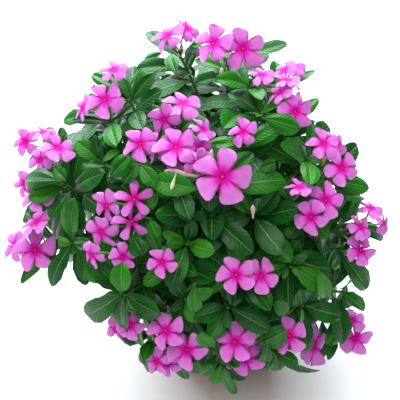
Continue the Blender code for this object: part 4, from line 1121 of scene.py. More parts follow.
def twig_leaves(shoots, leaves, room):
    """Leaves that the photograph shows where no shoot's own leaf stands: each ends a side twig."""
    joints = []
    for index, shoot in enumerate(shoots):
        count = int((run_length(shoot.points) - TWIG_LOWEST) / TWIG_STEP)
        joints += [(back_along(shoot.points, TWIG_STEP * step)[0], index) for step in range(1, count)]
    twigs = []
    tips = [pixel_of(tip_of(leaf))[0] for leaf in leaves]
    for reading in CLEAR_LEAVES + MORE_LEAVES:
        if min((tip - Vector(reading[2:4])).length for tip in tips) < TWIG_MISS:
            continue
        for leaf, run in twig_tries(reading, shoots, joints):
            blade, stalk = leaf_item(leaf, TWIG_FROM), tube_item(leaf.stem, run, TWIG_RADIUS)
            if tip_of(leaf).z < LOWEST_LEAF or not is_clear(blade, room.near(blade)):
                continue
            if any(room.hides(run[0].lerp(run[2], part / 6)) for part in range(7)):
                continue
            if is_clear(stalk, [other for other in room.near(stalk) if other.kind != "tube"]):
                room.add(blade)
                room.add(stalk)
                twigs.append((leaf, run))
                tips.append(pixel_of(tip_of(leaf))[0])
                break
    return twigs


def rosettes(shoots, blooming, room):
    """Small young leaves in a whorl at every shoot's tip."""
    draw = random.Random(SEED + 2)
    young = []
    for index, shoot in enumerate(shoots):
        side = tip_side(shoot, draw.uniform(0.0, 90.0))
        count = ROSETTE_COUNTS[index not in blooming]
        for order in range(count):
            left = count - order
            spread = math.radians(draw.uniform(*ROSETTE_SPREADS) + ROSETTE_OPENING * left)
            turn = 90.0 * order + (45.0 if order > 3 else 0.0) + draw.uniform(*ROSETTE_TURNS)
            flat = turned(side, shoot.heading, turn)
            way = swung(shoot.heading, flat, spread)
            face = squared(shoot.heading - ROSETTE_TILT * flat, way)
            length = draw.uniform(*ROSETTE_LENGTHS) + ROSETTE_GROWTH * left
            foot = shoot.points[-1] - ROSETTE_STEP * (1 + left) * shoot.heading + ROSETTE_SPREAD * flat
            leaf = Leaf(foot, way, face, length, length * draw.uniform(*ROSETTE_WIDTHS), shoot.stem, index,
                        0, order)
            if room.takes(leaf_item(leaf, ROSETTE_FROM), ("limb", "leaf")):
                young.append(leaf)
    return young


# Meshes: a piece is one mesh, which gathers copies of unit patterns and extruded tubes
class Growth:
    """A piece in the making: a mesh with a map along its blades and a tone for each of its points."""

    def __init__(self):
        self.solid = bmesh.new()
        self.map = self.solid.loops.layers.uv.new("UVMap")
        self.tone = self.solid.verts.layers.float.new("tone")

    def add(self, pattern, place_of, tone, slot=0):
        """Adds one copy of a unit pattern, each point moved to where place_of puts it."""
        points, faces = len(self.solid.verts), len(self.solid.faces)
        self.solid.from_mesh(pattern)
        self.solid.verts.ensure_lookup_table()
        self.solid.faces.ensure_lookup_table()
        for point in self.solid.verts[points:]:
            point.co = place_of(*point.co)
            point[self.tone] = tone
        for face in self.solid.faces[faces:]:
            face.material_index += slot

    def sweep(self, points, radii, tones, sides, slot):
        """A closed tube along a run of points: a ring that is extruded from point to point."""
        headings = [heading_at(points, index) for index in range(len(points))]
        ring = bmesh.ops.create_circle(self.solid, segments=sides, radius=1.0, cap_ends=True)["verts"]
        turn = SKYWARD.rotation_difference(headings[0])
        for point in ring:
            point.co = points[0] + turn @ (point.co * radii[0])
            point[self.tone] = tones[0]
        faces = {face for point in ring for face in point.link_faces}
        edges = list(dict.fromkeys(edge for point in ring for edge in point.link_edges))
        for index in range(1, len(points)):
            made = bmesh.ops.extrude_edge_only(self.solid, edges=edges)["geom"]
            ring = [part for part in made if isinstance(part, bmesh.types.BMVert)]
            edges = [part for part in made if isinstance(part, bmesh.types.BMEdge)
                     and all(point in ring for point in part.verts)]
            turn = headings[index - 1].rotation_difference(headings[index])
            scale = radii[index] / radii[index - 1]
            for point in ring:
                point.co = points[index] + turn @ (point.co - points[index - 1]) * scale
                point[self.tone] = tones[index]
            faces |= {face for point in ring for face in point.link_faces}
        faces |= set(bmesh.ops.edgeloop_fill(self.solid, edges=edges)["faces"])
        for face in faces:
            face.material_index = slot

    def finish(self, name, materials, slot_name, replaced):
        """Makes the piece: smooth, with its materials, riding on the plant's body."""
        bmesh.ops.recalc_face_normals(self.solid, faces=self.solid.faces)
        return finish_piece(name, pattern_mesh(name, self.solid), materials, slot_name, replaced)


def shown(name, data):
    """A new object in the scene."""
    thing = bpy.data.objects.new(name, data)
    bpy.context.scene.collection.objects.link(thing)
    return thing


def finish_piece(name, mesh, materials, slot_name, replaced):
    """Shades a mesh, links it as a piece that stands for a node of the model and rides on its body."""
    mesh.shade_smooth()
    mesh.set_sharp_from_angle(angle=SHARP_ANGLE)
    for material in materials:
        mesh.materials.append(material)
    piece = shown(name, mesh)
    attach(piece, "root")
    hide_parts(replaced)
    return piece


def pattern_mesh(name, solid):
    mesh = bpy.data.meshes.new(name)
    solid.to_mesh(mesh)
    solid.free()
    return mesh


def unit_blade(rows, across):
    """A flat closed blade: x from -1 to 1 across it, y the number of its row, z 0 above and -1 below."""
    solid = bmesh.new()
    bmesh.ops.create_grid(solid, x_segments=across, y_segments=len(rows) - 1, size=1.0)
    bmesh.ops.recalc_face_normals(solid, faces=solid.faces)
    bmesh.ops.solidify(solid, geom=solid.faces[:], thickness=1.0)
    middle = sum(point.co.z for point in solid.verts) / len(solid.verts)
    for point in solid.verts:
        point.co.y = round((point.co.y + 1.0) / 2.0 * (len(rows) - 1))
        point.co.z = 0.0 if point.co.z > middle else -1.0
    layer = solid.loops.layers.uv.new("UVMap")
    for face in solid.faces:
        face.material_index = int(all(point.co.z < -0.5 for point in face.verts))
        for loop in face.loops:
            loop[layer].uv = ((loop.vert.co.x + 1.0) / 2.0, rows[int(loop.vert.co.y)][0])
    return pattern_mesh("unit_blade", solid)


def unit_mouth():
    """The mouth of a flower tube: a low round collar with a sunk middle, one unit in radius."""
    solid = bmesh.new()
    bmesh.ops.create_cone(solid, cap_ends=True, segments=10, radius1=1.0, radius2=0.80, depth=MOUTH_DEPTH)
    top = max(solid.faces, key=lambda face: face.calc_center_median().z)
    bmesh.ops.inset_region(solid, faces=[top], thickness=0.48, depth=0.0)
    bmesh.ops.translate(solid, verts=top.verts[:], vec=(0.0, 0.0, -MOUTH_DEPTH / 2))
    top.material_index = 1
    return pattern_mesh("unit_mouth", solid)


def leaf_tint(draw, tone, fine):
    """How one leaf differs from the next: its tone, its fold, its droop and its wavy edge."""
    fold, droop, bulge = [draw.uniform(*span) for span in LEAF_PLAY]
    wave = draw.uniform(*FINE_WAVES) if fine else PLAIN_WAVE
    return Tint(tone, fold, droop, bulge, wave, draw.uniform(0.0, math.tau), draw.uniform(*LEAF_SICKLES))


def leaf_surface(leaf, tint, rows, thickness):
    """Where a unit blade's points go on a leaf."""
    def place_of(x, y, z):
        share, half = rows[int(y)]
        half *= leaf.width
        place = leaf_point(leaf, share, x * half + tint.sickle * leaf.length * share * share)
        edge = abs(x)
        lift = half * (tint.bulge * (1.0 - abs(2.0 * edge - 1.0)) + (tint.fold - tint.droop * edge) * edge)
        lift += tint.wave * math.sin(14.0 * share + tint.phase + 1.5 * x) * edge * edge
        thin = thickness * (1.0 - 0.35 * edge) * (1.0 + 1.2 * max(0.0, 0.14 - share) / 0.14)
        return place + (lift + z * thin) * leaf.face
    return place_of


def petal_surface(bloom, petal, shape, thickness):
    """Where a unit blade's points go on one petal of a bloom's limb, which is never quite flat."""
    angle, length, width, curl = bloom.petals[petal]
    ahead = swung(bloom.petal, bloom.normal.cross(bloom.petal), angle)
    across = bloom.normal.cross(ahead)

    def place_of(x, y, z):
        share, half = ROWS["petal"][int(y)]
        half *= bloom.radius * width * (1.0 + shape.taper * (share - 0.6))
        reach = bloom.radius * length * share + shape.skew * x * half * share
        lift = curl * share * share - THROAT_DEPTH * (1.0 - share) ** 2
        lift += shape.tilt * x * share - shape.cup * x * x * share
        lift += PETAL_DOME * math.sin(3.0 * share) - shape.bend * share ** 4
        lift += shape.wave * math.sin(4.5 * x + shape.phase) * share ** 3
        return bloom.centre + reach * ahead + x * half * across + (lift + z * thickness) * bloom.normal
    return place_of


def rounded(points):
    """The same run of points with its corners rounded off."""
    path = [points[0]]
    for before, corner, after in zip(points, points[1:], points[2:]):
        back, ahead = before - corner, after - corner
        start = corner + back.normalized() * min(CORNER_RUN, 0.45 * back.length)
        end = corner + ahead.normalized() * min(CORNER_RUN, 0.45 * ahead.length)
        path += [start, (start + 2.0 * corner + end) / 4.0, end]
    return path + [points[-1]]


def stem_path(shoot, tiers):
    """A shoot's rounded run of points with its radii, a little swollen where its leaves stand."""
    path = rounded(shoot.points)
    spots = [0.0]
    for end, start in zip(path[::-1], path[-2::-1]):
        spots.append(spots[-1] + (end - start).length)
    whole = spots[-1]
    knots = {FILL_STEPS[tier] for tier in tiers}
    beside = {knot + shift for knot in knots for shift in (-KNOT_RUN, KNOT_RUN)}
    clear = {spot for spot in spots if all(abs(spot - mark) > KNOT_RUN / 2 for mark in knots | beside)}
    marks = sorted(mark for mark in clear | knots | beside | {0.0, whole} if 0.0 <= mark <= whole)
    marks.reverse()
    points = [back_along(path, mark)[0] for mark in marks]
    radii = [shoot_radius(shoot, mark) * (KNOT_SWELL if mark in knots else STEM_WAIST) for mark in marks]
    return points, radii, [min(1.0, mark / BARK_RUN) for mark in marks]


def add_bud(growth, bud, slot):
    """A bud on its stalk, which runs from the shoot: it swells to a furled, pointed tip."""
    home, foot, tip = bud.points
    points, radii, tones = [home, home.lerp(foot, 0.5)], [BUD_STALK, BUD_STALK], [0.0, 0.0]
    for share, swell in BUD_SHAPE:
        points.append(foot.lerp(tip, share))
        radii.append(0.5 * bud.width * swell)
        tones.append(bud.tone * (0.3 + 0.7 * share))
    growth.sweep(points, radii, tones, 8, slot)


# Materials
class Link:
    """An output in a material's nodes. Arithmetic on it, as on a number, adds Math nodes."""

    def __init__(self, paint, socket):
        self.paint = paint
        self.socket = socket

    def math(self, operation, first, second):
        return self.paint.node("ShaderNodeMath", {"operation": operation}, {0: first, 1: second})

    def __add__(self, other):
        return self.math("ADD", self, other)

    def __radd__(self, other):
        return self.math("ADD", other, self)

    def __sub__(self, other):
        return self.math("SUBTRACT", self, other)

    def __rsub__(self, other):
        return self.math("SUBTRACT", other, self)

    def __mul__(self, other):
        return self.math("MULTIPLY", self, other)

    def __rmul__(self, other):
        return self.math("MULTIPLY", other, self)

    def __abs__(self):
        return self.math("ABSOLUTE", self, 0.0)

    def off_middle(self):
        """0 at a value of one half, and 1 at a value of 0 or 1."""
        return abs(self - 0.5) * 2.0

    def ladder(self):
        """1 at every whole value, and 0 halfway between two."""
        return self.math("FRACT", self, 0.0).off_middle()

    def between(self, low, high):
        """0 up to the low value and 1 from the high one, with a smooth rise between them."""
        return self.paint.node("ShaderNodeMapRange", {"interpolation_type": "SMOOTHSTEP"},
                               {"Value": self, "From Min": low, "From Max": high})


class Paint:
    """A material in the making: its nodes, which end in one Principled shader."""

    def __init__(self, name, **constants):
        self.material = bpy.data.materials.new(name)
        self.material.use_nodes = True
        self.tree = self.material.node_tree
        self.shader = self.tree.nodes["Principled BSDF"]
        self.set(**constants)

    def node(self, kind, settings, values, output=0):
        """Any node: its type, its settings, which are set first, and its sockets' values or links."""
        made = self.tree.nodes.new(kind)
        for name, value in settings.items():
            setattr(made, name, value)
        for name, value in values.items():
            self.feed(made.inputs[name], value)
        return Link(self, made.outputs[output])

    def feed(self, socket, value):
        if isinstance(value, Link):
            self.tree.links.new(value.socket, socket)
        else:
            socket.default_value = value

    def set(self, **values):
        """Feeds the shader's own sockets, named with underscores for spaces."""
        for words, value in values.items():
            name = words.replace("_", " ").title().replace("Ior", "IOR")
            self.feed(self.shader.inputs[name], value)

    def place(self):
        """Object coordinates, in metres."""
        return self.node("ShaderNodeTexCoord", {}, {}, "Object")

    def split(self, vector, axis):
        return self.node("ShaderNodeSeparateXYZ", {}, {0: vector}, axis)

    def blade_map(self):
        """A blade's map: across from 0 to 1, off its midrib from 0 to 1, and along from foot to tip."""
        flat = self.node("ShaderNodeUVMap", {"uv_map": "UVMap"}, {})
        across = self.split(flat, "X")
        return across, across.off_middle(), self.split(flat, "Y")

    def tone(self):
        return self.node("ShaderNodeAttribute", {"attribute_name": "tone"}, {}, "Fac")

    def noise(self, scale, detail=2.0, roughness=0.5, vector=None):
        return self.node("ShaderNodeTexNoise", {}, {"Vector": vector or self.place(), "Scale": scale,
                                                    "Detail": detail, "Roughness": roughness}, "Fac")

    def blend(self, base, *layers):
        """A colour with others laid over it in turn, each by its share."""
        for share, colour in layers:
            made = self.node("ShaderNodeMix", {"data_type": "RGBA"}, {0: share}, 2)
            for socket, value in zip(made.socket.node.inputs[6:8], (base, colour)):
                self.feed(socket, value if isinstance(value, Link) else (*value[:3], 1.0))
            base = made
        return base

    def finish(self, colour, roughness, height=None, distance=0.0, strength=1.0):
        """Feeds the shader its colour, its roughness and its relief, and gives the material."""
        self.set(base_color=colour, roughness=roughness)
        if height:
            self.set(Normal=self.node("ShaderNodeBump", {}, {"Strength": strength, "Distance": distance,
                                                             "Height": height}))
        return self.material


def leaf_paint(settings):
    """A glossy leaf: pale midrib, fine side veins, and a green that varies from leaf to leaf."""
    paint = Paint("leaf", coat_roughness=0.32, specular_ior_level=0.10)
    _, off, along = paint.blade_map()
    tone = paint.tone()
    rib = (1.0 - off.between(0.015, 0.075)) * (1.0 - 0.60 * along)
    ladder = (along * VEIN_COUNT - off * VEIN_SLANT).ladder()
    veins = ladder.between(0.72, 0.98) * off.between(0.05, 0.20) * (1.0 - off.between(0.75, 0.98))
    cloud, fine = paint.noise(42.0, 3.0), paint.noise(420.0)
    paint.set(coat_weight=0.42 - 0.16 * fine)
    green = paint.blend(
        settings.dark_green, ((cloud + 1.2 * (tone - 0.12)).between(0.30, 0.72), settings.mid_green),
        (tone.between(0.0, 1.0), settings.young_green), (veins * 0.45, settings.vein_green),
        (fine.between(0.62, 0.80) * 0.14, settings.vein_green),
        (off.between(0.93, 1.0) * 0.30, settings.vein_green), (rib * 0.60, settings.rib_green))
    relief = 0.5 * fine - 1.0 * veins + 0.8 * rib - 0.5 * ladder
    return paint.finish(green, 0.32 + 0.14 * cloud + 0.10 * rib, relief, 0.0006, 0.85)


def leaf_back_paint(settings):
    """The paler, matt underside of a leaf, with its rib standing proud."""
    paint = Paint("leaf_back", specular_ior_level=0.35)
    _, off, along = paint.blade_map()
    rib = 1.0 - off.between(0.05, 0.13)
    ladder = (along * VEIN_COUNT - off * VEIN_SLANT).ladder()
    cloud = paint.noise(60.0, 3.0)
    green = paint.blend(settings.mid_green, (cloud, settings.back_green),
                        (paint.tone() * 0.6, settings.young_green),
                        (rib * 0.7 + ladder.between(0.75, 0.98) * 0.18, settings.rib_green))
    return paint.finish(green, 0.55 + 0.15 * cloud, rib + 0.4 * ladder, 0.0005, 0.6)


def stem_paint(settings):
    """Stems: green at their tips, brown and a little corky low down."""
    paint = Paint("stem", specular_ior_level=0.45)
    cloud, grain = paint.noise(90.0, 3.0), paint.noise(900.0)
    age = (paint.tone() + 0.5 * (cloud - 0.5)).between(0.25, 0.80)
    bark = paint.blend(settings.stem_green, (age, settings.stem_brown),
                       (grain.between(0.55, 0.75) * 0.3, settings.rib_green))
    return paint.finish(bark, 0.42 + 0.25 * age, grain + cloud, 0.0004, 0.5)


def petal_paint(settings, back=False):
    """A petal: soft pink, paler at its edge, with fine rays that run out of a crimson eye, and painted shade
    along its sides near the eye.
    """
    paint = Paint("petal_back" if back else "petal", specular_ior_level=0.10, sheen_weight=0.04,
                  sheen_roughness=0.5)
    across, off, along = paint.blade_map()
    tone = paint.tone()
    flow = paint.node("ShaderNodeCombineXYZ", {}, {"X": across * 30.0, "Y": along * 1.4, "Z": tone * 40.0})
    rays = paint.noise(1.0, vector=flow)
    blush = (along + 0.06 * off + 0.34 * (rays - 0.5)).between(0.24, 0.58)
    # Painted shade: dark lines along each petal's sides near the eye stand for the shadow in the gaps
    # between petals.
    painted_gap_shade = (off + 0.10 * along).between(0.66, 0.96) * (1.0 - along.between(0.42, 0.80))
    eye = 1.0 - (along + 0.08 * off + 0.10 * (rays - 0.5)).between(0.12, 0.26)
    layers = [
        (blush, settings.petal_pink), ((along + 0.25 * off).between(0.70, 1.20) * 0.75, settings.petal_pale),
        (rays.between(0.52, 0.68) * (1.0 - along.between(0.40, 1.0)) * 0.50, settings.petal_deep),
        (tone * blush * 0.6, settings.petal_pale),
        # Painted shade: the deep colour along each petal's sides, strongest near the eye, stands for shadow
        # where neighbouring petals overlap.
        (off.between(0.80, 1.0) * (0.62 - 0.40 * along), settings.petal_deep),
        (painted_gap_shade * 0.85, settings.petal_painted_gap_shade),
    ]
    if back:
        layers.append((0.45, settings.petal_pale))
        eye = eye * 0.35
    pink = paint.blend(settings.petal_deep, *layers, (eye, settings.eye))
    return paint.finish(pink, 0.50 + 0.20 * rays, rays, 0.0003, 0.5)


def collar_paint(settings):
    """The dark red collar round the mouth of a flower tube."""
    paint = Paint("collar", specular_ior_level=0.3)
    speck = paint.noise(1500.0)
    return paint.finish(paint.blend(settings.collar, (speck, settings.eye)), 0.45 + 0.2 * speck)


def throat_paint(settings):
    """The pale dot in a bloom's mouth."""
    paint = Paint("throat", specular_ior_level=0.3)
    speck = paint.noise(2500.0)
    return paint.finish(paint.blend(settings.throat, (speck * 0.5, settings.petal_pale)), 0.4 + 0.2 * speck)


def bud_paint(settings):
    """Buds and tubes: green at the foot, then cream, then pink where the petals are furled."""
    paint = Paint("bud", specular_ior_level=0.35)
    tone, grain = paint.tone(), paint.noise(500.0)
    colour = paint.blend(settings.bud_green, (tone.between(0.02, 0.28), settings.bud_cream),
                         ((tone + 0.2 * (grain - 0.5)).between(0.40, 0.80), settings.petal_pink))
    return paint.finish(colour, 0.45 + 0.2 * grain, grain, 0.0003, 0.5)


def clay_paint(settings):
    """Fired clay: warm, mottled, faintly ringed by the wheel, with a dusty bloom."""
    paint = Paint("clay", specular_ior_level=0.3)
    cloud, speck = paint.noise(18.0, 5.0, 0.6), paint.noise(700.0)
    height = paint.split(paint.place(), "Z")
    rings = (height * 340.0 + cloud * 1.5).ladder()
    dust = (paint.noise(30.0, 4.0) + 0.25 * (0.5 - height * 6.0)).between(0.50, 0.80)
    clay = paint.blend(settings.clay, (cloud.between(0.30, 0.70), settings.clay_dark),
                       (speck.between(0.60, 0.75) * 0.35, settings.clay_dark),
                       (dust * 0.40, settings.clay_bloom))
    return paint.finish(clay, 0.72 + 0.20 * speck, 0.5 * speck + 0.5 * rings + cloud, 0.0006, 0.6)


def soil_paint(settings):
    """Dark, damp potting mix with lighter fibres."""
    paint = Paint("soil", specular_ior_level=0.3)
    lump, fibre = paint.noise(260.0, 4.0, 0.65), paint.noise(1300.0)
    mix = paint.blend(settings.soil_dark, (lump.between(0.35, 0.70), settings.soil_light),
                      (fibre.between(0.62, 0.75) * 0.5, settings.soil_fibre))
    return paint.finish(mix, 0.75 + 0.2 * fibre, lump + 0.5 * fibre, 0.0015, 0.8)


def perlite_paint(settings):
    """White grains in the potting mix."""
    paint = Paint("perlite", specular_ior_level=0.3)
    grain = paint.noise(900.0, 3.0)
    white = paint.blend(settings.perlite, (grain.between(0.4, 0.8), settings.soil_fibre))
    return paint.finish(white, 0.8, grain, 0.0006, 0.6)


def floor_paint(settings):
    paint = Paint("floor", specular_ior_level=0.2)
    darker = [0.97 * part for part in settings.floor]
    return paint.finish(paint.blend(settings.floor, (paint.noise(60.0), darker)), 0.85)


# The pieces
def clay_profile():
    """The pot's section from the middle of its underside, out and up its side, and down inside."""
    band = POT_HEIGHT - RIM_BAND_HEIGHT
    inner = POT_RIM_RADIUS - RIM_BAND_STEP - POT_WALL
    return [
        (0.0, 0.0), (POT_BASE_RADIUS, 0.0), (outer_radius(band), band - RIM_BAND_STEP),
        (POT_RIM_RADIUS, band), (POT_RIM_RADIUS, POT_HEIGHT), (inner, POT_HEIGHT),
        (outer_radius(POT_FLOOR) - POT_WALL, POT_FLOOR), (0.0, POT_FLOOR),
    ]


def turned_shape(profile, steps):
    """A closed turned shape: half of its section, spun round the Z axis."""
    solid = bmesh.new()
    corners = [solid.verts.new((radius, 0.0, height)) for radius, height in profile]
    edges = [solid.edges.new(pair) for pair in zip(corners, corners[1:])]
    bmesh.ops.spin(solid, geom=corners + edges, cent=(0.0, 0.0, 0.0), axis=(0.0, 0.0, 1.0),
                   angle=math.tau, steps=steps, use_merge=True)
    bmesh.ops.remove_doubles(solid, verts=solid.verts, dist=0.00001)
    bmesh.ops.recalc_face_normals(solid, faces=solid.faces)
    return solid


def cut_drain_holes(mesh):
    """Cuts the pot's drainage holes, and returns the cut mesh."""
    helpers = bpy.data.collections.new("drain_holes")
    pot = shown("uncut_pot", mesh)
    for index in range(DRAIN_COUNT):
        solid = bmesh.new()
        bmesh.ops.create_cone(solid, cap_ends=True, segments=32, radius1=DRAIN_RADIUS, radius2=DRAIN_RADIUS,
                              depth=4 * POT_FLOOR)
        bmesh.ops.translate(solid, verts=solid.verts,
                            vec=ring_point(DRAIN_RING, math.tau * index / DRAIN_COUNT, 0.0))
        helpers.objects.link(bpy.data.objects.new("drain_hole", pattern_mesh("drain_hole", solid)))
    holes = pot.modifiers.new("drain holes", "BOOLEAN")
    holes.operation = "DIFFERENCE"
    holes.operand_type = "COLLECTION"
    holes.collection = helpers
    bpy.context.view_layer.update()
    graph = bpy.context.evaluated_depsgraph_get()
    cut = bpy.data.meshes.new_from_object(pot.evaluated_get(graph), depsgraph=graph)
    for helper in [pot, *helpers.objects]:
        bpy.data.objects.remove(helper)
    bpy.data.collections.remove(helpers)
    return cut


def make_pot(settings):
    solid = turned_shape(clay_profile(), settings.pot_steps)
    sharp = [edge for edge in solid.edges if len(edge.link_faces) == 2
             and edge.calc_face_angle() > POT_SHARP_ANGLE]
    bmesh.ops.bevel(solid, geom=sharp, offset=POT_BEVEL, affect="EDGES", segments=3, profile=0.5,
                    material=-1)
    mesh = cut_drain_holes(pattern_mesh("pot", solid))
    return finish_piece("clay_pot", mesh, [clay_paint(settings)], "clay", "pot")


def soil_height(place):
    """How far the potting mix stands above its level at a place: uneven, a little raised mid-pot."""
    rough = noise.noise(place * 45.0) * 0.0030 + noise.noise(place * 190.0) * 0.0014
    return rough + 0.003 * (1.0 - (place.xy.length / POT_RIM_RADIUS) ** 2) - 0.002


def make_soil(settings):
    """Potting mix with an uneven top, crumbs and white grains."""
    low = POT_FLOOR + FIT_GAP
    outer = outer_radius(SOIL_TOP) - POT_WALL - FIT_GAP
    inner = outer_radius(low) - POT_WALL - FIT_GAP
    profile = [(0.0, low), (inner, low)]
    profile += [(outer * step / SOIL_RINGS, SOIL_TOP) for step in range(SOIL_RINGS, -1, -1)]
    growth = Growth()

    def uneven(x, y, z):
        return Vector((x, y, z + (soil_height(Vector((x, y, 0.0))) if z > low else 0.0)))

    growth.add(pattern_mesh("mix", turned_shape(profile, SOIL_STEPS)), uneven, 0.0)
    draw = random.Random(SEED + 5)
    solid = bmesh.new()
    bmesh.ops.create_icosphere(solid, subdivisions=1, radius=1.0)
    crumb = pattern_mesh("crumb", solid)
    for index in range(settings.crumbs):
        turn, reach = draw.uniform(0.0, math.tau), outer * 0.96 * math.sqrt(draw.random())
        place = ring_point(reach, turn, 0.0)
        size = draw.uniform(*CRUMB_SIZES)
        spin = Matrix.Rotation(draw.uniform(0.0, math.tau), 3, Vector((draw.random(), draw.random(), 0.3)))
        shape = Vector((1.0, draw.uniform(0.5, 0.9), draw.uniform(0.4, 0.8)))
        place.z = SOIL_TOP + soil_height(place) + 0.2 * size
        growth.add(crumb, lambda x, y, z: place + spin @ (Vector((x, y, z)) * shape * size), 0.0,
                   0 if index % PERLITE_EVERY else 1)
    materials = [soil_paint(settings), perlite_paint(settings)]
    return growth.finish("potting_mix", materials, "potting_mix", "soil")


def make_foliage(stem, bush, patterns, materials):
    """One stem with its shoots, its leaves and the young leaves at its tips."""
    growth = Growth()
    draw = random.Random(stem)
    for index, shoot in enumerate(bush.shoots):
        if shoot.stem == stem:
            own = {leaf.tier for leaf in bush.leaves + bush.fill if leaf.shoot == index}
            growth.sweep(*stem_path(shoot, own), STEM_SIDES, 2)
    for leaf, (home, middle, foot) in bush.twigs:
        if leaf.stem == stem:
            points = [home.lerp(middle, part).lerp(middle.lerp(foot, part), part)
                      for part in (0.0, 0.5, 1.0)]
            growth.sweep(points, [1.1 * TWIG_RADIUS, TWIG_RADIUS, 0.8 * TWIG_RADIUS], [0.2, 0.1, 0.0],
                         STEM_SIDES, 2)
    kinds = (
        (bush.leaves + [leaf for leaf, _ in bush.twigs], "fine",
         lambda tier: max(0.0, draw.gauss(0.12, 0.17) - 0.04 * tier)),
        (bush.fill, "plain", lambda tier: max(0.0, draw.gauss(0.06, 0.10) - 0.03 * tier)),
        (bush.young, "plain", lambda tier: draw.uniform(0.35, 0.9)),
    )
    for leaves, kind, tone_of in kinds:
        for leaf in leaves:
            if leaf.stem == stem:
                tint = leaf_tint(draw, tone_of(leaf.tier), kind == "fine")
                growth.add(patterns[kind], leaf_surface(leaf, tint, ROWS[kind], LEAF_THICKNESS), tint.tone)
    for bud in bush.buds:
        if bud.node == stem:
            add_bud(growth, bud, 3)
    return growth.finish(stem.replace("leafy_stem", "foliage"), materials, "foliage", stem)


def add_bloom(growth, bloom, patterns, draw):
    """A bloom: five petals that each tuck under the next, a collared mouth, its tube and sepals."""
    pale = max(0.0, draw.gauss(0.12, 0.14))
    for petal in range(PETALS):
        shape = Petal(*[draw.uniform(*span) for span in PETAL_PLAY])
        growth.add(patterns["petal"], petal_surface(bloom, petal, shape, PETAL_THICKNESS),
                   min(1.0, pale + draw.uniform(0.0, 0.12)))
    side = bloom.normal.cross(bloom.petal)
    size = MOUTH_SHARE * bloom.radius
    mouth = bloom.centre - 0.4 * THROAT_DEPTH * bloom.normal
    growth.add(patterns["mouth"], lambda x, y, z: mouth + size * (x * bloom.petal + y * side
                                                                  + z * 0.9 * bloom.normal), 0.0, 2)
    ends = tube_ends(bloom)
    points = [bloom.foot] + [bezier(ends, share) for share in TUBE_SHARES]
    growth.sweep(points, TUBE_RADII, TUBE_TONES, 7, 5)
    turn = squared(bloom.petal, bloom.heading)
    for index in range(PETALS):
        out = turned(turn, bloom.heading, 360.0 * index / PETALS)
        way = (bloom.heading + SEPAL_LEAN * out).normalized()
        sepal = Leaf(points[1] + SEPAL_RING * out, way, squared(-out, way), *SEPAL_SIZE, "", 0, 0, 0)
        growth.add(patterns["sepal"], leaf_surface(sepal, SEPAL_TINT, ROWS["sepal"], SEPAL_THICKNESS),
                   SEPAL_TINT.tone, 6)


def make_truss(node, blooms, bush, patterns, materials):
    """One cluster of blooms with its buds."""
    growth = Growth()
    draw = random.Random(node)
    for bloom in blooms:
        add_bloom(growth, bloom, patterns, draw)
    for bud in bush.buds:
        if bud.node == node:
            add_bud(growth, bud, 5)
    return growth.finish(node.replace("truss", "cluster"), materials, "petals", node)


def seen_buds(clusters, shoots):
    """Each bud that the photograph shows, grown from the shoot tip or cluster nearest to its foot."""
    homes = [(shoot.points[-1], shoot.stem) for shoot in shoots if not shoot.hidden]
    homes += [(blooms[0].foot, node) for node, blooms in clusters]
    buds = []
    for foot_x, foot_y, tip_x, tip_y, width, tone in BUDS:
        seen = Vector((foot_x, foot_y))
        home, node = min(homes, key=lambda entry: (pixel_of(entry[0])[0] - seen).length)
        depth = max(mound_depth(foot_x, foot_y) * 0.5, nearness(home)) + BUD_FORWARD
        foot, tip = spot(foot_x, foot_y, depth), spot(tip_x, tip_y, depth + BUD_LEAN)
        buds.append(Bud(node, (home, foot, tip), width * PIXEL, tone))
    return buds


def young_buds(clusters, room):
    """Small green buds beside the tubes at the foot of every cluster."""
    draw = random.Random(SEED + 3)
    buds = []
    for node, blooms in clusters:
        foot, heading = blooms[0].foot, blooms[0].heading
        side = squared(BUD_HINT, heading)
        for _ in range(3):
            out = turned(side, heading, draw.uniform(0.0, 360.0))
            way = (heading + draw.uniform(0.5, 1.0) * out).normalized()
            tip = foot + draw.uniform(*BUD_RUNS) * way
            if room.takes(tube_item(node, [foot + 0.003 * way, tip], BUD_RADIUS), ("limb", "leaf")):
                points = (foot, foot + 0.002 * way, tip)
                buds.append(Bud(node, points, BUD_WIDTH, draw.uniform(*BUD_TONES)))
    return buds


def grow_bush():
    """Everything that grows: the model's own blooms, shoots and leaves, and all that fills them out."""
    clusters, shoots, leaves, items = grow()
    room = Room(items, [bloom for _, blooms in clusters for bloom in blooms])
    blooming = {index for index, shoot in enumerate(shoots)
                if min((blooms[0].foot - shoot.points[-1]).length for _, blooms in clusters) < TIP_MISS}
    twigs = twig_leaves(shoots, leaves, room)
    young = rosettes(shoots, blooming, room)
    fill = fill_bush(shoots, leaves, room)
    buds = seen_buds(clusters, shoots) + young_buds(clusters, room)
    return Bush(clusters, shoots, leaves, twigs, fill, young, buds)


BUSH = grow_bush()


def make_floor(settings):
    solid = bmesh.new()
    bmesh.ops.create_grid(solid, x_segments=4, y_segments=4, size=settings.floor_size / 2)
    floor = shown("floor", pattern_mesh("floor", solid))
    floor.data.materials.append(floor_paint(settings))


def aim(thing, place, target):
    thing.location = place
    thing.rotation_euler = (place - target).to_track_quat("Z", "Y").to_euler()


def make_lamp(name, kind, place, power, colour, **shape):
    data = bpy.data.lights.new(name, kind)
    data.energy = power
    data.color = colour
    for setting, value in shape.items():
        setattr(data, setting, value)
    aim(shown(name, data), Vector(place), BUSH_CENTRE)


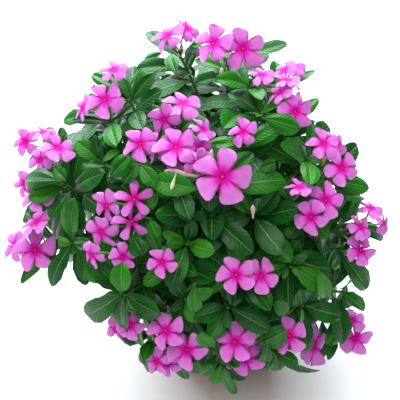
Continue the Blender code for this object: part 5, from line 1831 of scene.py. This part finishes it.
def make_studio(settings):
    """A pale floor, an even sky, a broad soft sun, a lamp behind the bush, and the camera."""
    scene = bpy.context.scene
    scene.view_settings.view_transform = "Standard"
    make_floor(settings)
    make_lamp("soft_sun", "SUN", SUN_PLACE, settings.sun_power, SUN_COLOUR, angle=settings.sun_width)
    make_lamp("side_lamp", "AREA", SIDE_PLACE, settings.side_power, SIDE_COLOUR, size=SIDE_SIZE)
    world = bpy.data.worlds.new("sky")
    world.use_nodes = True
    sky = world.node_tree.nodes["Background"]
    sky.inputs["Color"].default_value = (*settings.sky, 1.0)
    sky.inputs["Strength"].default_value = settings.sky_strength
    scene.world = world
    data = bpy.data.cameras.new("camera")
    data.angle = 2.0 * math.atan(IMAGE_MIDDLE * PIXEL / VIEW_DISTANCE)
    scene.camera = shown("camera", data)
    aim(scene.camera, BUSH_CENTRE + VIEW_DISTANCE * TOWARD, BUSH_CENTRE)


# The add-on
def colour_property(name, description, default):
    return FloatVectorProperty(name=name, description=description, default=default, subtype="COLOR",
                               size=3, min=0.0, max=1.0)


class PERIWINKLE_PG_leaves(bpy.types.PropertyGroup):
    """Colours of leaves and stems"""

    dark_green: colour_property("Dark green", "Oldest leaves", (0.003, 0.076, 0.008))
    mid_green: colour_property("Green", "Grown leaves", (0.006, 0.180, 0.003))
    young_green: colour_property("Young green", "Leaves at the tips", (0.064, 0.370, 0.006))
    vein_green: colour_property("Vein green", "Side veins", (0.048, 0.230, 0.034))
    rib_green: colour_property("Rib green", "Midribs", (0.360, 0.520, 0.210))
    back_green: colour_property("Underside", "Undersides of the leaves", (0.060, 0.170, 0.040))
    stem_green: colour_property("Stem green", "Young stems", (0.060, 0.160, 0.025))
    stem_brown: colour_property("Stem brown", "Old stems", (0.090, 0.050, 0.022))
    bud_green: colour_property("Bud green", "Feet of the buds", (0.130, 0.330, 0.060))
    bud_cream: colour_property("Bud cream", "Tubes and half-grown buds", (0.560, 0.540, 0.260))
    petal_pink: colour_property("Bud pink", "Furled petals", (0.820, 0.260, 0.640))


class PERIWINKLE_PG_blooms(bpy.types.PropertyGroup):
    """Colours of the blooms"""

    petal_pink: colour_property("Petal pink", "The petals", (0.755, 0.168, 0.715))
    petal_pale: colour_property("Petal edge", "The petals' paler edge", (0.790, 0.320, 0.780))
    # Also used for the painted shade along the petals' sides near the eye.
    petal_deep: colour_property("Petal heart", "The petals near the eye", (0.780, 0.003, 0.500))
    # Painted shade: the colour of the dark lines that stand for shadow in the gaps between petals.
    petal_painted_gap_shade: colour_property("Petal painted gap shade", "The shade between two petals", (0.380, 0.001, 0.200))
    eye: colour_property("Eye", "The crimson eye", (0.540, 0.001, 0.135))
    collar: colour_property("Collar", "The ring round the mouth", (0.620, 0.003, 0.130))
    throat: colour_property("Throat", "The dot in the mouth", (1.000, 0.480, 0.400))
    bud_green: colour_property("Bud green", "Feet of buds and tubes", (0.130, 0.330, 0.060))
    bud_cream: colour_property("Bud cream", "Tubes and half-grown buds", (0.680, 0.620, 0.420))


class PERIWINKLE_PG_pot(bpy.types.PropertyGroup):
    """Sizes and colours of the pot and the potting mix"""

    pot_steps: IntProperty(name="Pot steps", description="Steps round the pot", default=96, min=24, max=256)
    crumbs: IntProperty(name="Crumbs", description="Loose crumbs on the potting mix", default=420, min=0,
                        max=1500)
    clay: colour_property("Clay", "The fired clay", (0.520, 0.190, 0.090))
    clay_dark: colour_property("Dark clay", "Darker mottling", (0.330, 0.105, 0.050))
    clay_bloom: colour_property("Dust", "Dusty bloom on the clay", (0.680, 0.480, 0.370))
    soil_dark: colour_property("Damp mix", "The potting mix", (0.012, 0.008, 0.005))
    soil_light: colour_property("Dry mix", "Drier crumbs", (0.060, 0.035, 0.020))
    soil_fibre: colour_property("Fibre", "Fibres in the mix", (0.200, 0.120, 0.065))
    perlite: colour_property("Perlite", "White grains", (0.750, 0.740, 0.700))


class PERIWINKLE_PG_studio(bpy.types.PropertyGroup):
    """The floor and the light"""

    floor: colour_property("Floor", "The floor's colour", (0.900, 0.900, 0.900))
    floor_size: FloatProperty(name="Floor size", description="Length of the floor's side", default=12.0,
                              min=2.0, unit="LENGTH")
    sky: colour_property("Sky", "Colour of the light from all round", (0.920, 0.960, 1.000))
    sky_strength: FloatProperty(name="Sky strength", description="Light from all round", default=0.20,
                                min=0.0)
    sun_power: FloatProperty(name="Sun", description="Strength of the soft sun", default=2.26, min=0.0)
    sun_width: FloatProperty(name="Sun width", description="How broad and soft the sun is",
                             default=math.radians(60.0), min=0.0, max=math.pi, subtype="ANGLE")
    side_power: FloatProperty(name="Side lamp", description="Power of the lamp behind the bush",
                              default=74.0, min=0.0, unit="POWER")


class PERIWINKLE_OT_pot(bpy.types.Operator):
    """Builds the clay pot in place of the model's plain one"""

    bl_idname = "periwinkle.pot"
    bl_label = "Clay pot"

    def execute(self, context):
        make_pot(context.scene.periwinkle_pot)
        return {"FINISHED"}


class PERIWINKLE_OT_soil(bpy.types.Operator):
    """Fills the pot with crumbly potting mix"""

    bl_idname = "periwinkle.soil"
    bl_label = "Potting mix"

    def execute(self, context):
        make_soil(context.scene.periwinkle_pot)
        return {"FINISHED"}


class PERIWINKLE_OT_foliage(bpy.types.Operator):
    """Grows every leafy stem with its fine leaves"""

    bl_idname = "periwinkle.foliage"
    bl_label = "Leafy stems"

    def execute(self, context):
        settings = context.scene.periwinkle_leaves
        paints = (leaf_paint, leaf_back_paint, stem_paint, bud_paint)
        materials = [paint(settings) for paint in paints]
        patterns = {"fine": unit_blade(ROWS["fine"], 4), "plain": unit_blade(ROWS["plain"], 2)}
        for stem in sorted({shoot.stem for shoot in BUSH.shoots}):
            make_foliage(stem, BUSH, patterns, materials)
        return {"FINISHED"}


class PERIWINKLE_OT_blooms(bpy.types.Operator):
    """Grows every cluster of blooms, with its tubes, sepals and buds"""

    bl_idname = "periwinkle.blooms"
    bl_label = "Flower clusters"

    def execute(self, context):
        settings = context.scene.periwinkle_blooms
        leaves = context.scene.periwinkle_leaves
        materials = [petal_paint(settings), petal_paint(settings, True), collar_paint(settings),
                     throat_paint(settings), stem_paint(leaves), bud_paint(settings),
                     leaf_back_paint(leaves), leaf_back_paint(leaves)]
        patterns = {"petal": unit_blade(ROWS["petal"], 4), "mouth": unit_mouth(),
                    "sepal": unit_blade(ROWS["sepal"], 2)}
        for node, blooms in BUSH.clusters:
            make_truss(node, blooms, BUSH, patterns, materials)
        return {"FINISHED"}


class PERIWINKLE_OT_studio(bpy.types.Operator):
    """Sets the floor, the light and the camera"""

    bl_idname = "periwinkle.studio"
    bl_label = "Studio"

    def execute(self, context):
        make_studio(context.scene.periwinkle_studio)
        return {"FINISHED"}


class PERIWINKLE_PT_sidebar(bpy.types.Panel):
    """Lists the periwinkle's pieces and their settings"""

    bl_idname = "PERIWINKLE_PT_sidebar"
    bl_label = "Periwinkle"
    bl_space_type = "VIEW_3D"
    bl_region_type = "UI"
    bl_category = "Periwinkle"

    def draw(self, context):
        for operator in OPERATORS:
            self.layout.operator(operator.bl_idname)
        for name, group in GROUPS.items():
            box = self.layout.box()
            for setting in group.__annotations__:
                box.prop(getattr(context.scene, name), setting)


GROUPS = {
    "periwinkle_leaves": PERIWINKLE_PG_leaves,
    "periwinkle_blooms": PERIWINKLE_PG_blooms,
    "periwinkle_pot": PERIWINKLE_PG_pot,
    "periwinkle_studio": PERIWINKLE_PG_studio,
}
OPERATORS = (PERIWINKLE_OT_pot, PERIWINKLE_OT_soil, PERIWINKLE_OT_foliage, PERIWINKLE_OT_blooms,
             PERIWINKLE_OT_studio)


def register():
    for name, group in GROUPS.items():
        bpy.utils.register_class(group)
        setattr(bpy.types.Scene, name, PointerProperty(type=group))
    for kind in (*OPERATORS, PERIWINKLE_PT_sidebar):
        bpy.utils.register_class(kind)


def unregister():
    for kind in (PERIWINKLE_PT_sidebar, *reversed(OPERATORS)):
        bpy.utils.unregister_class(kind)
    for name, group in GROUPS.items():
        delattr(bpy.types.Scene, name)
        bpy.utils.unregister_class(group)


def main():
    register()
    bpy.ops.periwinkle.pot()
    bpy.ops.periwinkle.soil()
    bpy.ops.periwinkle.foliage()
    bpy.ops.periwinkle.blooms()
    bpy.ops.periwinkle.studio()


if __name__ == "__main__":
    main()
